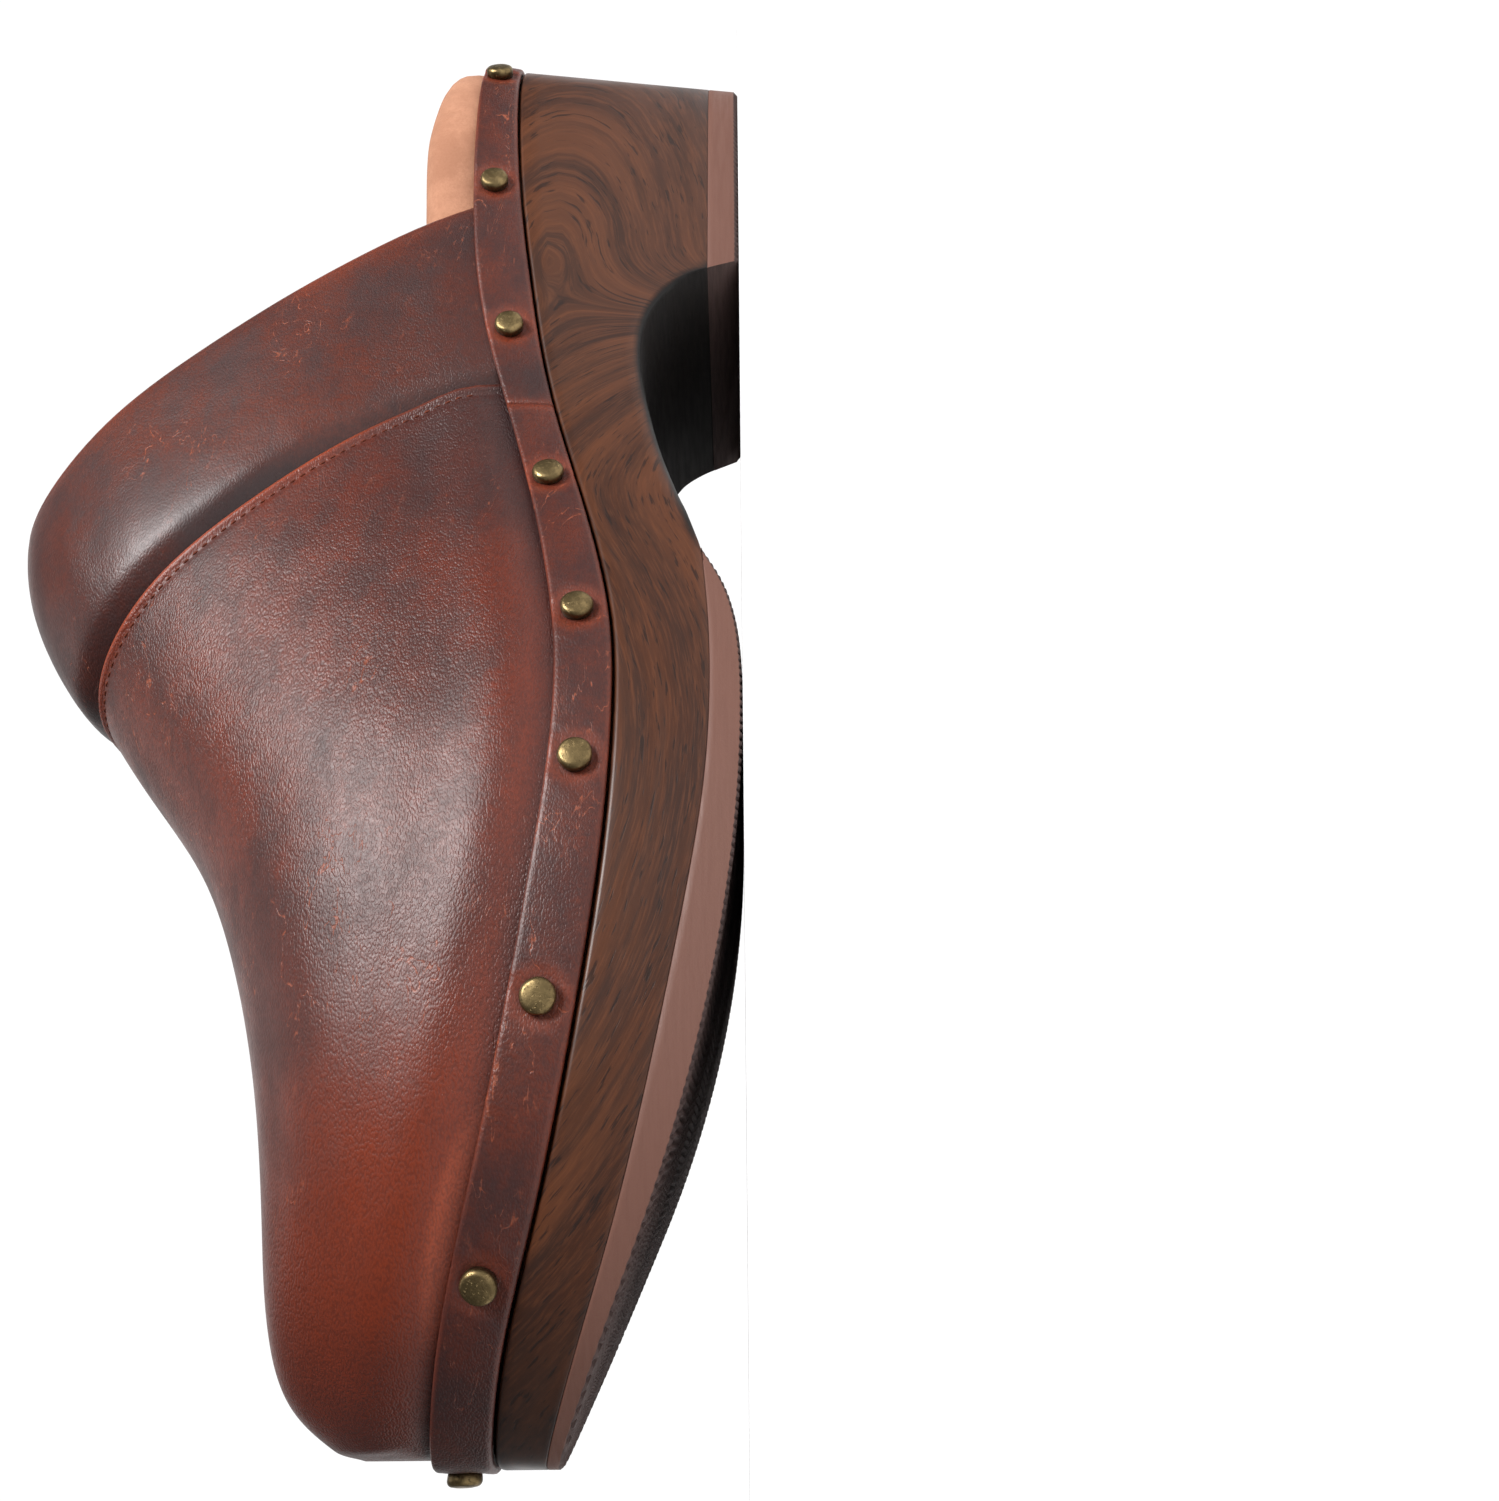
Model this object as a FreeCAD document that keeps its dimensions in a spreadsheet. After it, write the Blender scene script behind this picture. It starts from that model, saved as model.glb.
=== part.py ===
"""Wooden-soled clog, right foot, as a FreeCAD document.

Lengths are millimetres. The shape is laid out from the back of the heel (x = 0) to the toe tip,
with +Y towards the inner side of the foot and +Z up from the ground. Every sketch is then shifted
so that the origin sits in the middle of the heel lift's ground face.
"""
import FreeCAD
import Part
import bisect
import math
import os

from FreeCAD import Placement, Rotation, Vector

doc = FreeCAD.newDocument("clog")
sheet = doc.addObject("Spreadsheet::Sheet", "sizes")

SIZES = {
    "clog_length": 255.0,        # back of the heel to the toe tip
    "origin_x": 36.0,            # middle of the heel lift, from the back of the heel
    "heel_breast_x": 63.4,       # front face of the heel block, where the wood meets the lift
    "breast_lean": 2.2,          # the lift's front face lies this much further back at the ground
    "heel_rake": 3.0,            # how far the heel's back leans forward at the ground
    "heel_taper": 0.12,          # share of its width that the heel loses down to the ground
    "lift_thickness": 5.6,
    "lift_bevel": 1.1,
    "rocker_start": 150.0,       # where the outsole leaves the ground, on the centre line
    "rocker_radius": 205.0,
    "rocker_end": 225.0,         # from here to the toe the tread is straight
    "rocker_slant": 0.18,        # the flex line lies this far off square, tan of the angle
    "rebate_depth": 3.05,        # step in the wood that holds the leather's edge and the rand
    "rand_proud": 0.5,           # how far the rand stands out of the wood's side
    "rand_inner": 1.15,          # depth of the rand's back face in the rebate
    "margin_depth": 1.3,         # depth of the leather margin's outer face in the rebate
    "leather": 1.6,
    "lining": 0.9,
    "collar_foam": 4.0,
    "puff_start": 206.0,
    "cover": 1.0,                # suede on the footbed
    "footbed_inset": 4.9,
    "seat_front": 47.5,          # where the upper's opening meets the rand
    "rand_joint": 98.0,          # the two rands meet here on both sides
    "joint_gap": 0.1,
    "nail_head_radius": 2.45,
    "nail_head_height": 2.2,
    "nail_bevel": 0.6,
    "nail_shank_radius": 0.7,
    "nail_shank_length": 9.5,
    "stitch_pitch": 2.7,
    "stitch_length": 1.9,
    "stitch_radius": 0.35,
    "stitch_row": 2.2,           # the stitch line runs this far in front of the seam
}
for row, (alias, value) in enumerate(SIZES.items(), start=1):
    sheet.set(f"A{row}", alias)
    sheet.set(f"B{row}", str(value))
    sheet.setAlias(f"B{row}", alias)
doc.recompute()


def size(alias):
    """Value of a named cell of the sheet."""
    return float(sheet.get(alias))


LENGTH = size("clog_length")
ORIGIN_X = size("origin_x")
SIDE = 60.0                      # half width of the cutting slabs, outside the clog
SEAT_LEVEL = 45.0                # height at which the plan outline is given
TINY = 1e-6                      # lengths below this count as nothing
ROUGH_TOP = 60.0                 # top of the plan prism, before the profile trims it
ROUGH_FOOT = -5.0                # and its foot

# Plan outline: (x, half width) from the heel's back to the toe tip, first the inner side.
INNER_SIDE = [(1.2, 11), (5.5, 23), (15, 29.8), (30, 32.8), (50, 33.6), (75, 34), (100, 36), (125, 41),
              (150, 46), (172, 48.2), (200, 46), (215, 42.5), (230, 36), (240, 29), (248, 20)]
OUTER_SIDE = [(1.2, 11), (5.5, 22.5), (15, 29), (30, 31.5), (50, 32), (75, 33), (100, 36.5), (125, 43),
              (148, 47.5), (168, 48), (190, 45.5), (208, 41), (224, 34), (238, 25), (248, 15)]

# Side profiles: (u, z), where u is x on the centre line. See slant() for the two sides.
RAND_TOP = [(-5, 48.6), (10, 48.4), (25, 48.2), (45, 47.5), (70, 45), (98, 38), (121, 30.8), (140, 27.1), (158, 26.7),
            (180, 28.9), (210, 33.6), (235, 39.2), (255, 43.2), (262, 44.5)]
RAND_FOOT = [(-5, 42.3), (10, 41.6), (45, 39.3), (72, 35.6), (97, 30.6), (116, 24.4), (134, 19.5),
             (152, 18.2), (170, 18.8), (194, 21.7), (220, 26.7), (240, 31.9), (255, 34.9), (262, 36.4)]
ARCH = [(63.4, 5.6), (65.4, 9.3), (69.4, 13.1), (74.5, 15.7), (81, 16.8), (89.3, 16.4), (97.6, 14.9),
        (105.7, 12.8), (114, 9.8), (124, 6.1)]
OUTSOLE_TOP = [(124, 6.1), (136, 5.0), (150, 4.7), (164, 5.5), (180, 7.9), (200, 11.8), (220, 16.6),
               (240, 23.0), (262, 30.4)]
OUTSOLE_HEEL = [(124, 6.1), (127, 4.2), (130, 2.7), (134, 1.45), (138, 0.7), (144, 0.15), (150, 0.0)]
FOOTBED_TOP = [(-5, 54.5), (8, 55.6), (25, 57.3), (50, 57.2), (70, 53.5), (98, 45.5), (121, 37.6),
               (140, 33), (158, 32), (180, 33.8), (210, 38.3), (235, 43.6), (262, 49)]

# Upper: the ridge over the instep and toe, the opening's edge and the collar seam, as (x, z).
RIDGE = [(40, 132.4), (70, 132.3), (100, 128.4), (120, 121), (134, 112), (152, 99.3), (171, 85),
         (190, 75.9), (209, 70.2), (225, 67.8), (239, 66), (247, 63), (252, 57.2), (255, 46)]
OPENING_EDGE = [(41.5, 30), (47.6, 44), (52.7, 55), (59.2, 66), (67, 78), (78, 94), (89.9, 110),
                (100.3, 120.5), (113.8, 134), (123, 141)]
COLLAR_SEAM = [(88, 20), (90.4, 34), (96.6, 52), (105.1, 66), (115.1, 78), (127.8, 92), (139.8, 103),
               (150.7, 112), (163.3, 122)]


def smooth_step(value, low, high):
    """0 below low, 1 above high, smooth between."""
    share = min(max((value - low) / (high - low), 0.0), 1.0)
    return share * share * (3.0 - 2.0 * share)


def slant(u, y):
    """x at the side y of the point u: the forefoot's flex line isn't square to the clog."""
    return u + size("rocker_slant") * y * smooth_step(u, 90.0, 135.0)


def unslant(x, y):
    """The point u that slant() carries to x."""
    u = x
    for _ in range(30):
        u += x - slant(u, y)
    return u


def spline(points):
    curve = Part.BSplineCurve()
    curve.interpolate([Vector(*p) for p in points])
    return curve


def height_on(profile):
    """A function u -> z of a profile that runs along x."""
    curve = spline([(x, z, 0) for x, z in profile])

    def height(u):
        low, high = curve.FirstParameter, curve.LastParameter
        for _ in range(40):
            middle = 0.5 * (low + high)
            if curve.value(middle).x < u:
                low = middle
            else:
                high = middle
        return curve.value(low).y
    return height


rand_top_z = height_on(RAND_TOP)
rand_foot_z = height_on(RAND_FOOT)


def make_sketch(name, placement, curves):
    """A sketch of joined curves in the plane that placement gives."""
    sketch = doc.addObject("Sketcher::SketchObject", name)
    for curve in curves:
        sketch.addGeometry(curve, False)
    sketch.Placement = placement
    return sketch


# ---------------------------------------------------------------- plan outline

def outline_points(inset):
    """Points of the plan outline at seat level, moved inwards by inset: a number or f(x)."""
    inner = [Vector(x, y, 0) for x, y in INNER_SIDE]
    outer = [Vector(x, -y, 0) for x, y in reversed(OUTER_SIDE)]
    ring = [Vector(0, 0, 0)] + inner + [Vector(LENGTH, 0, 0)] + outer
    curve = Part.BSplineCurve()
    curve.interpolate(Points=ring, PeriodicFlag=True)
    moved = []
    for point in ring:
        along = curve.tangent(curve.parameter(point))[0]
        inwards = Vector(along.y, -along.x, 0)
        depth = inset(point.x) if callable(inset) else inset
        moved.append(point + inwards * depth)
    return moved


def outline_curve(inset):
    """Closed plan outline at seat level, moved inwards by inset."""
    curve = Part.BSplineCurve()
    curve.interpolate(Points=outline_points(inset), PeriodicFlag=True)
    return curve


def width_table(curve):
    """Function (x, side) -> half width of a plan outline, side +1 inner or -1 outer."""
    samples = 800
    start, end = curve.FirstParameter, curve.LastParameter
    tip = curve.parameter(Vector(LENGTH, 0, 0))
    sides = {side: [curve.value(begin + (tip - begin) * i / samples) for i in range(samples + 1)]
             for side, begin in ((1, start), (-1, end))}
    stations = {side: [p.x for p in points] for side, points in sides.items()}

    def width(x, side):
        points, xs = sides[side], stations[side]
        i = min(max(bisect.bisect(xs, x), 1), len(xs) - 1)
        share = min(max((x - xs[i - 1]) / (xs[i] - xs[i - 1]), 0.0), 1.0)
        return abs(points[i - 1].y + share * (points[i].y - points[i - 1].y))
    width.tip = curve.value(tip).x
    return width


def taper(x, z):
    """Width factor of the heel's sides at height z; the forefoot's sides are upright."""
    heel_share = 1.0 - smooth_step(x, 70.0, 130.0)
    return 1.0 - size("heel_taper") * (SEAT_LEVEL - z) / SEAT_LEVEL * heel_share


def rake(x, z):
    """Forward lean of the heel's back at height z."""
    back_share = 1.0 - smooth_step(x, 0.0, 60.0)
    return size("heel_rake") * (SEAT_LEVEL - z) / SEAT_LEVEL * back_share


def leaned(point, z):
    """A point of the seat-level outline carried to height z by the heel's taper and rake."""
    return Vector(point.x + rake(point.x, z) - ORIGIN_X, point.y * taper(point.x, z), z)


OUTLINE_SPANS = 6                # the outline is kept in this many pieces, so no face is too long


def outline_sketch(name, inset, z):
    ring = [leaned(point, z) for point in outline_points(inset)]
    closed = Part.BSplineCurve()
    closed.interpolate(Points=[Vector(p.x, p.y, 0) for p in ring], PeriodicFlag=True)
    knots = [closed.getKnot(i) for i in range(1, closed.NbKnots + 1)]
    breaks = [knots[round(i * (len(knots) - 1) / OUTLINE_SPANS)] for i in range(OUTLINE_SPANS + 1)]
    spans = []
    for low, high in zip(breaks[:-1], breaks[1:]):
        span = closed.copy()
        span.segment(low, high)
        spans.append(span)
    return make_sketch(name, Placement(Vector(0, 0, z), Rotation()), spans)


def plan_prism(name, inset):
    """Solid inside the plan outline from below the ground to above the seat, heel tapered."""
    prism = doc.addObject("Part::Loft", name)
    prism.Sections = [outline_sketch(f"{name}_ground", inset, ROUGH_FOOT),
                      outline_sketch(f"{name}_top", inset, ROUGH_TOP)]
    prism.Solid = True
    prism.Ruled = True
    return prism


# ---------------------------------------------------------------- side slabs

def slab_curves(y, lower, upper):
    """Closed loop of curves at the side y, between a lower and an upper chain of pieces.

    A chain is a list of point lists. Two points make a straight piece, more a smooth one.
    """
    pieces = []
    for chain in (lower, [list(reversed(piece)) for piece in reversed(upper)]):
        for piece in chain:
            pieces.append([(slant(u, y), z, 0) for u, z in piece])
    loop = []
    for i, piece in enumerate(pieces):
        if len(piece) == 2:
            loop.append(Part.LineSegment(Vector(*piece[0]), Vector(*piece[1])))
        else:
            loop.append(spline(piece))
        end, start = piece[-1], pieces[(i + 1) % len(pieces)][0]
        if Vector(*end).distanceToPoint(Vector(*start)) > TINY:
            loop.append(Part.LineSegment(Vector(*end), Vector(*start)))
    return loop


def slab(name, lower, upper):
    """Solid from side to side between two profiles, which follow the slanted flex line."""
    upright = Rotation(Vector(1, 0, 0), 90)
    sections = []
    for label, y in (("outer", -SIDE), ("inner", SIDE)):
        placement = Placement(Vector(-ORIGIN_X, y, 0), upright)
        sections.append(make_sketch(f"{name}_{label}", placement, slab_curves(y, lower, upper)))
    solid = doc.addObject("Part::Loft", name)
    solid.Sections = sections
    solid.Solid = True
    solid.Ruled = True
    return solid


def raised(profile, rise):
    return [(u, z + rise) for u, z in profile]


def level(z, start=-20.0, end=280.0):
    return [(start, z), (end, z)]


# ---------------------------------------------------------------- booleans

def cut(name, base, tool):
    result = doc.addObject("Part::Cut", name)
    result.Base = base
    result.Tool = tool
    return result


def common(name, *shapes):
    result = doc.addObject("Part::MultiCommon", name)
    result.Shapes = list(shapes)
    return result


def fuse(name, *shapes):
    result = doc.addObject("Part::MultiFuse", name)
    result.Shapes = list(shapes)
    return result


# ---------------------------------------------------------------- walls from two grids

def interpolated(grid):
    surface = Part.BSplineSurface()
    surface.interpolate(grid)
    return surface


def spans_of(low, high, split=None, count=1):
    """Consecutive (low, high) pairs, split at one value or into equal parts."""
    if split is not None:
        return [(low, split), (split, high)]
    step = (high - low) / count
    return [(low + i * step, low + (i + 1) * step) for i in range(count)]


def patch(surface, u_span, v_span):
    piece = surface.copy()
    piece.segment(*u_span, *v_span)
    return piece


def ruled_face(first, second):
    """Face of straight lines between two spline curves that run the same way."""
    curves = [first.copy(), second.copy()]
    for curve in curves:
        curve.increaseDegree(max(first.Degree, second.Degree))
        curve.scaleKnotsToBounds(0.0, 1.0)
    own = [(curve.getKnots(), curve.getMultiplicities()) for curve in curves]
    for curve, (knots, counts) in zip(curves, reversed(own)):
        curve.insertKnots(knots, counts, 1e-9, False)
    surface = Part.BSplineSurface()
    surface.buildFromPolesMultsKnots(
        [list(pair) for pair in zip(*[curve.getPoles() for curve in curves])],
        curves[0].getMultiplicities(), [2, 2], curves[0].getKnots(), [0.0, 1.0],
        False, False, curves[0].Degree, 1)
    return surface.toShape()


def wall_solid(name, outer, inner, closes_at=None, lengthwise=4):
    """Solid between two grids of points with the same layout.

    The faces between the grids' borders are ruled. With closes_at, a column, the last row folds
    onto itself there, as an upper closes at the toe, and the grids are split along that column.
    lengthwise is the number of patches along the rows, so that no face is too long.
    """
    patches = []
    for grid in (outer, inner):
        surface = interpolated(grid)
        u_low, u_high, v_low, v_high = surface.bounds()
        split = surface.parameter(grid[len(grid) // 2][closes_at])[1] if closes_at else None
        patches.append([[patch(surface, u_span, v_span)
                         for v_span in spans_of(v_low, v_high, split)]
                        for u_span in spans_of(u_low, u_high, count=lengthwise)])
    faces = []
    for strips in patches:
        faces += [piece.toShape() for strip in strips for piece in strip]

    def join(edge_of, i, j):
        faces.append(ruled_face(*[edge_of(strips[i][j]) for strips in patches]))
    for i in range(lengthwise):
        join(lambda piece: piece.vIso(piece.bounds()[2]), i, 0)
        join(lambda piece: piece.vIso(piece.bounds()[3]), i, -1)
    for j in range(len(patches[0][0])):
        join(lambda piece: piece.uIso(piece.bounds()[0]), 0, j)
        if not closes_at:
            join(lambda piece: piece.uIso(piece.bounds()[1]), -1, j)
    shell = Part.makeCompound(faces)
    shell.sewShape()
    solid = Part.makeSolid(shell.Shells[0])
    if solid.Volume < 0:
        solid.reverse()
    return shape_feature(name, solid)


def shape_feature(name, shape):
    feature = doc.addObject("Part::Feature", name)
    feature.Shape = shape
    feature.Placement = Placement()
    return feature


# ---------------------------------------------------------------- nails

FRONT_NAILS = [114.5, 142.9, 168.5, 201.4, 234.5]
REAR_NAILS = [14.5, 46.3, 80.0]


def nail_places():
    """(rand, x, side) of each nail; side 0 is the toe tip or the middle of the heel's back."""
    spots = [("front", LENGTH, 0), ("rear", 0.0, 0)]
    for side in (1, -1):
        spots += [("front", x, side) for x in FRONT_NAILS]
        spots += [("rear", x, side) for x in REAR_NAILS]
    return spots


def nail_frame(x, side):
    """Point on the rand's face in the middle of its height, and the outward direction."""
    proud = size("rand_proud")
    curve = outline_curve(-proud)
    if side:
        seat = Vector(x, side * width_table(curve)(x, side), 0)
    else:
        seat = Vector(LENGTH + proud if x > 0 else -proud, 0, 0)
    along = curve.tangent(curve.parameter(seat))[0]
    outwards = Vector(-along.y, along.x, 0).normalize()
    u = unslant(seat.x, seat.y)
    z = 0.5 * (rand_top_z(u) + rand_foot_z(u)) + 0.3
    return leaned(seat, z), outwards


def make_master_nail():
    """Flat brass head with a bevelled rim on a plain shank, standing on the origin along +Z."""
    head = doc.addObject("Part::Cylinder", "nail_head")
    head.setExpression("Radius", "sizes.nail_head_radius")
    head.setExpression("Height", "sizes.nail_head_height - sizes.nail_bevel")
    bevel = doc.addObject("Part::Cone", "nail_head_bevel")
    bevel.setExpression("Radius1", "sizes.nail_head_radius")
    bevel.setExpression("Radius2", "sizes.nail_head_radius - sizes.nail_bevel")
    bevel.setExpression("Height", "sizes.nail_bevel")
    bevel.setExpression("Placement.Base.z", "sizes.nail_head_height - sizes.nail_bevel")
    shank = doc.addObject("Part::Cylinder", "nail_shank")
    shank.setExpression("Radius", "sizes.nail_shank_radius")
    shank.setExpression("Height", "sizes.nail_shank_length")
    shank.setExpression("Placement.Base.z", "-sizes.nail_shank_length")
    return fuse("master_nail", head, bevel, shank), shank


def placed_copies(shape, spots):
    """Copies of a shape, each stood on a nail's place."""
    copies = []
    for _, x, side in spots:
        point, outwards = nail_frame(x, side)
        turn = Rotation(Vector(0, 0, 1), outwards)
        copy = shape.copy()
        copy.Placement = Placement(point, turn).multiply(copy.Placement)
        copies.append(copy)
    return copies


master_nail, master_shank = make_master_nail()
doc.recompute()
nail_spots = nail_places()
rand_nails = {
    where: shape_feature(f"{where}_rand_nails", Part.makeCompound(placed_copies(
        master_nail.Shape, [spot for spot in nail_spots if spot[0] == where])))
    for where in ("front", "rear")}
shank_holes = {
    where: shape_feature(f"{where}_shank_holes", Part.makeCompound(placed_copies(
        master_shank.Shape, [spot for spot in nail_spots if spot[0] == where])))
    for where in ("front", "rear")}


# ---------------------------------------------------------------- sole

SHOULDER_DROP = 0.7              # the wood's top edge lies this far below the rand's top
WOOD_TOP = raised(RAND_TOP, -SHOULDER_DROP)
wood_prism = plan_prism("wood_prism", 0.0)
rebate_core = plan_prism("rebate_core", size("rebate_depth"))
wood_slab = slab("wood_slab", [[(-5, size("lift_thickness")), ARCH[0]], ARCH, OUTSOLE_TOP],
                 [WOOD_TOP])
wood_blank = common("wood_blank", wood_prism, wood_slab)
rebate_room = cut("rebate_room", slab("rebate_slab", [RAND_FOOT], [level(80.0, -5.0, 262.0)]),
                  rebate_core)
wood_shouldered = cut("wood_shouldered", wood_blank, rebate_room)
wood_front_drilled = cut("wood_front_drilled", wood_shouldered, shank_holes["front"])
wooden_sole = cut("wooden_sole", wood_front_drilled, shank_holes["rear"])


def rocker_profile():
    """Tread line from its feathered rear end to the toe: a curve, an arc and a straight run."""
    radius, start, end = size("rocker_radius"), size("rocker_start"), size("rocker_end")
    arc = []
    for i in range(6):
        u = start + (end - start) * i / 5
        arc.append((u, radius - math.sqrt(radius ** 2 - (u - start) ** 2)))
    slope = (end - start) / math.sqrt(radius ** 2 - (end - start) ** 2)
    toe = (262.0, arc[-1][1] + slope * (262.0 - end))
    return [OUTSOLE_HEEL, arc, [arc[-1], toe]]


outsole_slab = slab("outsole_slab", rocker_profile(), [OUTSOLE_TOP])
forefoot_outsole = common("forefoot_outsole", wood_prism, outsole_slab)


def make_heel_lift():
    """Rubber top lift: the heel's ground outline, padded up, with its ground edge bevelled."""
    body = doc.addObject("PartDesign::Body", "heel_top_lift")
    sketch = body.newObject("Sketcher::SketchObject", "lift_outline")
    plane = next(f for f in body.Origin.OriginFeatures if f.Role == "XY_Plane")
    sketch.AttachmentSupport = (plane, [""])
    sketch.MapMode = "FlatFace"
    width = width_table(outline_curve(0.0))
    stations = [1.2, 3.0, 6.0, 10.0, 16.0, 24.0, 36.0, 50.0, size("heel_breast_x")]
    rims = {side: [leaned(Vector(x, side * width(x, side), 0), 0.0) for x in stations]
            for side in (1, -1)}
    back = leaned(Vector(0, 0, 0), 0.0)
    rim = Part.BSplineCurve()
    rim.interpolate(list(reversed(rims[-1])) + [back] + rims[1])
    sketch.addGeometry(rim, False)
    sketch.addGeometry(Part.LineSegment(rims[1][-1], rims[-1][-1]), False)
    pad = body.newObject("PartDesign::Pad", "lift_pad")
    pad.Profile = sketch
    pad.setExpression("Length", "sizes.lift_thickness")
    doc.recompute()
    edges = pad.Shape.Edges
    ground_rim = max((i for i, edge in enumerate(edges, start=1) if edge.BoundBox.ZMax < 0.01),
                     key=lambda i: edges[i - 1].Length)
    bevel = body.newObject("PartDesign::Chamfer", "lift_bevel_cut")
    bevel.Base = (pad, [f"Edge{ground_rim}"])
    bevel.setExpression("Size", "sizes.lift_bevel")
    side_plane = next(f for f in body.Origin.OriginFeatures if f.Role == "XZ_Plane")
    wedge = body.newObject("Sketcher::SketchObject", "breast_wedge")
    wedge.AttachmentSupport = (side_plane, [""])
    wedge.MapMode = "FlatFace"
    top, beyond = size("lift_thickness"), 3.0
    breast = size("heel_breast_x") - ORIGIN_X
    slope = size("breast_lean") / top
    corners = [(breast - slope * (top + beyond), -beyond), (breast + beyond, -beyond),
               (breast + beyond, top + beyond), (breast + slope * beyond, top + beyond)]
    for start, end in zip(corners, corners[1:] + corners[:1]):
        wedge.addGeometry(Part.LineSegment(Vector(*start, 0), Vector(*end, 0)), False)
    lean = body.newObject("PartDesign::Pocket", "breast_cut")
    lean.Profile = wedge
    lean.Type = "ThroughAll"
    lean.Midplane = True
    body.Tip = lean
    return body


heel_top_lift = make_heel_lift()


# ---------------------------------------------------------------- rand

JOINT, GAP = size("rand_joint"), size("joint_gap")


def rand_stations(where):
    """(x, side) along one rand: from its inner end round the toe or heel to its outer end."""
    if where == "front":
        along = [JOINT + GAP, 112, 126, 140, 155, 170, 185, 200, 214, 226, 236, 244, 249.5, 252.8, 254.4]
        middle = (LENGTH, 0)
    else:
        along = [JOINT, 86, 72, 58, 44, 32, 22, 15, 10, 6, 3, 1.2, 0.3]
        middle = (0.0, 0)
    return ([(x, 1) for x in along] + [middle] + [(x, -1) for x in reversed(along)])


def ring_grid(where, depth, rows):
    """Grid on the surface that lies depth inside the plan outline; rows are u -> z functions."""
    width = width_table(outline_curve(depth))
    grid = []
    for x, side in rand_stations(where):
        if side:
            share = (x - (LENGTH if where == "front" else 0.0))
            inset_x = width.tip + share * width.tip / LENGTH if where == "front" else x + depth * (
                1.0 - smooth_step(x, 0.0, 30.0))
            seat = Vector(inset_x, side * width(inset_x, side), 0)
        else:
            seat = Vector(width.tip if where == "front" else depth, 0, 0)
        u = unslant(seat.x, seat.y)
        grid.append([leaned(seat, row(u)) for row in rows])
    return grid


def make_rand(where):
    middle = [lambda u, f=f: rand_foot_z(u) + f * (rand_top_z(u) - rand_foot_z(u))
              for f in (0.0, 0.5, 1.0)]
    blank = wall_solid(f"{where}_rand_blank", ring_grid(where, -size("rand_proud"), middle),
                       ring_grid(where, size("rand_inner"), middle))
    return cut(f"{where}_rand_strip", blank, shank_holes[where])


rand_strips = {where: make_rand(where) for where in ("front", "rear")}


# ---------------------------------------------------------------- upper

def inset_ridge(inset):
    """Ridge line moved inwards, as a function x -> z."""
    curve = spline([(x, z, 0) for x, z in RIDGE])
    moved = []
    for x, z in RIDGE:
        along = curve.tangent(curve.parameter(Vector(x, z, 0)))[0]
        moved.append((x + inset * along.y, z - inset * along.x))
    return height_on(moved)


def ridge_side(x):
    """The instep's ridge runs a little to the inner side."""
    return 4.0 * (1.0 - smooth_step(x, 200.0, 245.0))


def fullness(x):
    """Superellipse power of a cross-section: round at the instep, boxy at the toe."""
    return 2.15 + 0.75 * smooth_step(x, 130.0, 235.0)


QUARTER = 7                      # columns from the feather edge up to the ridge
CREST = QUARTER + 1              # the ridge's column, with one column below the feather edge


class Skin:
    """The upper's surface, moved inwards by inset: columns run from side to side over the ridge."""

    def __init__(self, inset):
        self.width = width_table(outline_curve(size("margin_depth") + inset))
        self.ridge = inset_ridge(inset)
        self.columns = 2 * CREST + 1

    def point(self, x, column):
        side = 1 if column <= CREST else -1
        step = min(column, self.columns - 1 - column)
        width = self.width(x, side) if x < self.width.tip - TINY else 0.0
        u = unslant(x, side * width)
        if step == 0:
            z = rand_foot_z(u) + 0.15
            return Vector(x + rake(x, z) - ORIGIN_X, side * width * taper(x, z), z)
        turn = math.radians(90.0 * (step - 1) / QUARTER)
        power = 2.0 / fullness(x)
        foot = rand_top_z(u) - 0.3
        crest = max(self.ridge(x), foot + 2.0)
        crest_y = ridge_side(x) * min(width, 40.0) / 40.0
        y = crest_y + (side * width * taper(x, foot) - crest_y) * math.cos(turn) ** power
        z = foot + (crest - foot) * math.sin(turn) ** power
        return Vector(x - ORIGIN_X, y, z)

    def on_line(self, line_x, column):
        """x at which a column meets a line seen from the side, given as a function z -> x."""
        x = line_x(60.0)
        for _ in range(40):
            x += 0.5 * (line_x(self.point(x, column).z) - x)
        return x

    def rows(self, start_x, end_x, shares, low_column=0):
        """Grid of points from one line across the upper to another."""
        grid = []
        columns = range(low_column, self.columns - low_column)
        starts = [start_x(column) for column in columns]
        ends = [end_x(column) for column in columns]
        for share in shares:
            grid.append([self.point(a + share * (b - a), column)
                         for a, b, column in zip(starts, ends, columns)])
        return grid


def side_line(profile, step=0.0):
    """Function z -> x of a line seen from the side."""
    x_of_z = height_on([(z, x) for x, z in profile])
    return lambda z: x_of_z(z) + step


edge_x = side_line(OPENING_EDGE)
seam_x = side_line(COLLAR_SEAM)
LEATHER, LINING, FOAM = size("leather"), size("lining"), size("collar_foam")
TO_TOE = [1.0 - (1.0 - i / 15) ** 2 for i in range(16)]
EVENLY = [i / 6 for i in range(7)]


def closed_toe(name, start, layers, low_column=0, lengthwise=4):
    """A layer of the upper from a line or station to the toe tip, between two depths."""
    grids = []
    for inset in layers:
        skin = Skin(inset)
        begin = (lambda column, k=skin: k.on_line(start, column)) if callable(start) else (
            lambda column: start)
        grids.append(skin.rows(begin, lambda column, k=skin: k.width.tip, TO_TOE, low_column))
    return wall_solid(name, *grids, closes_at=CREST - low_column, lengthwise=lengthwise)


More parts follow.
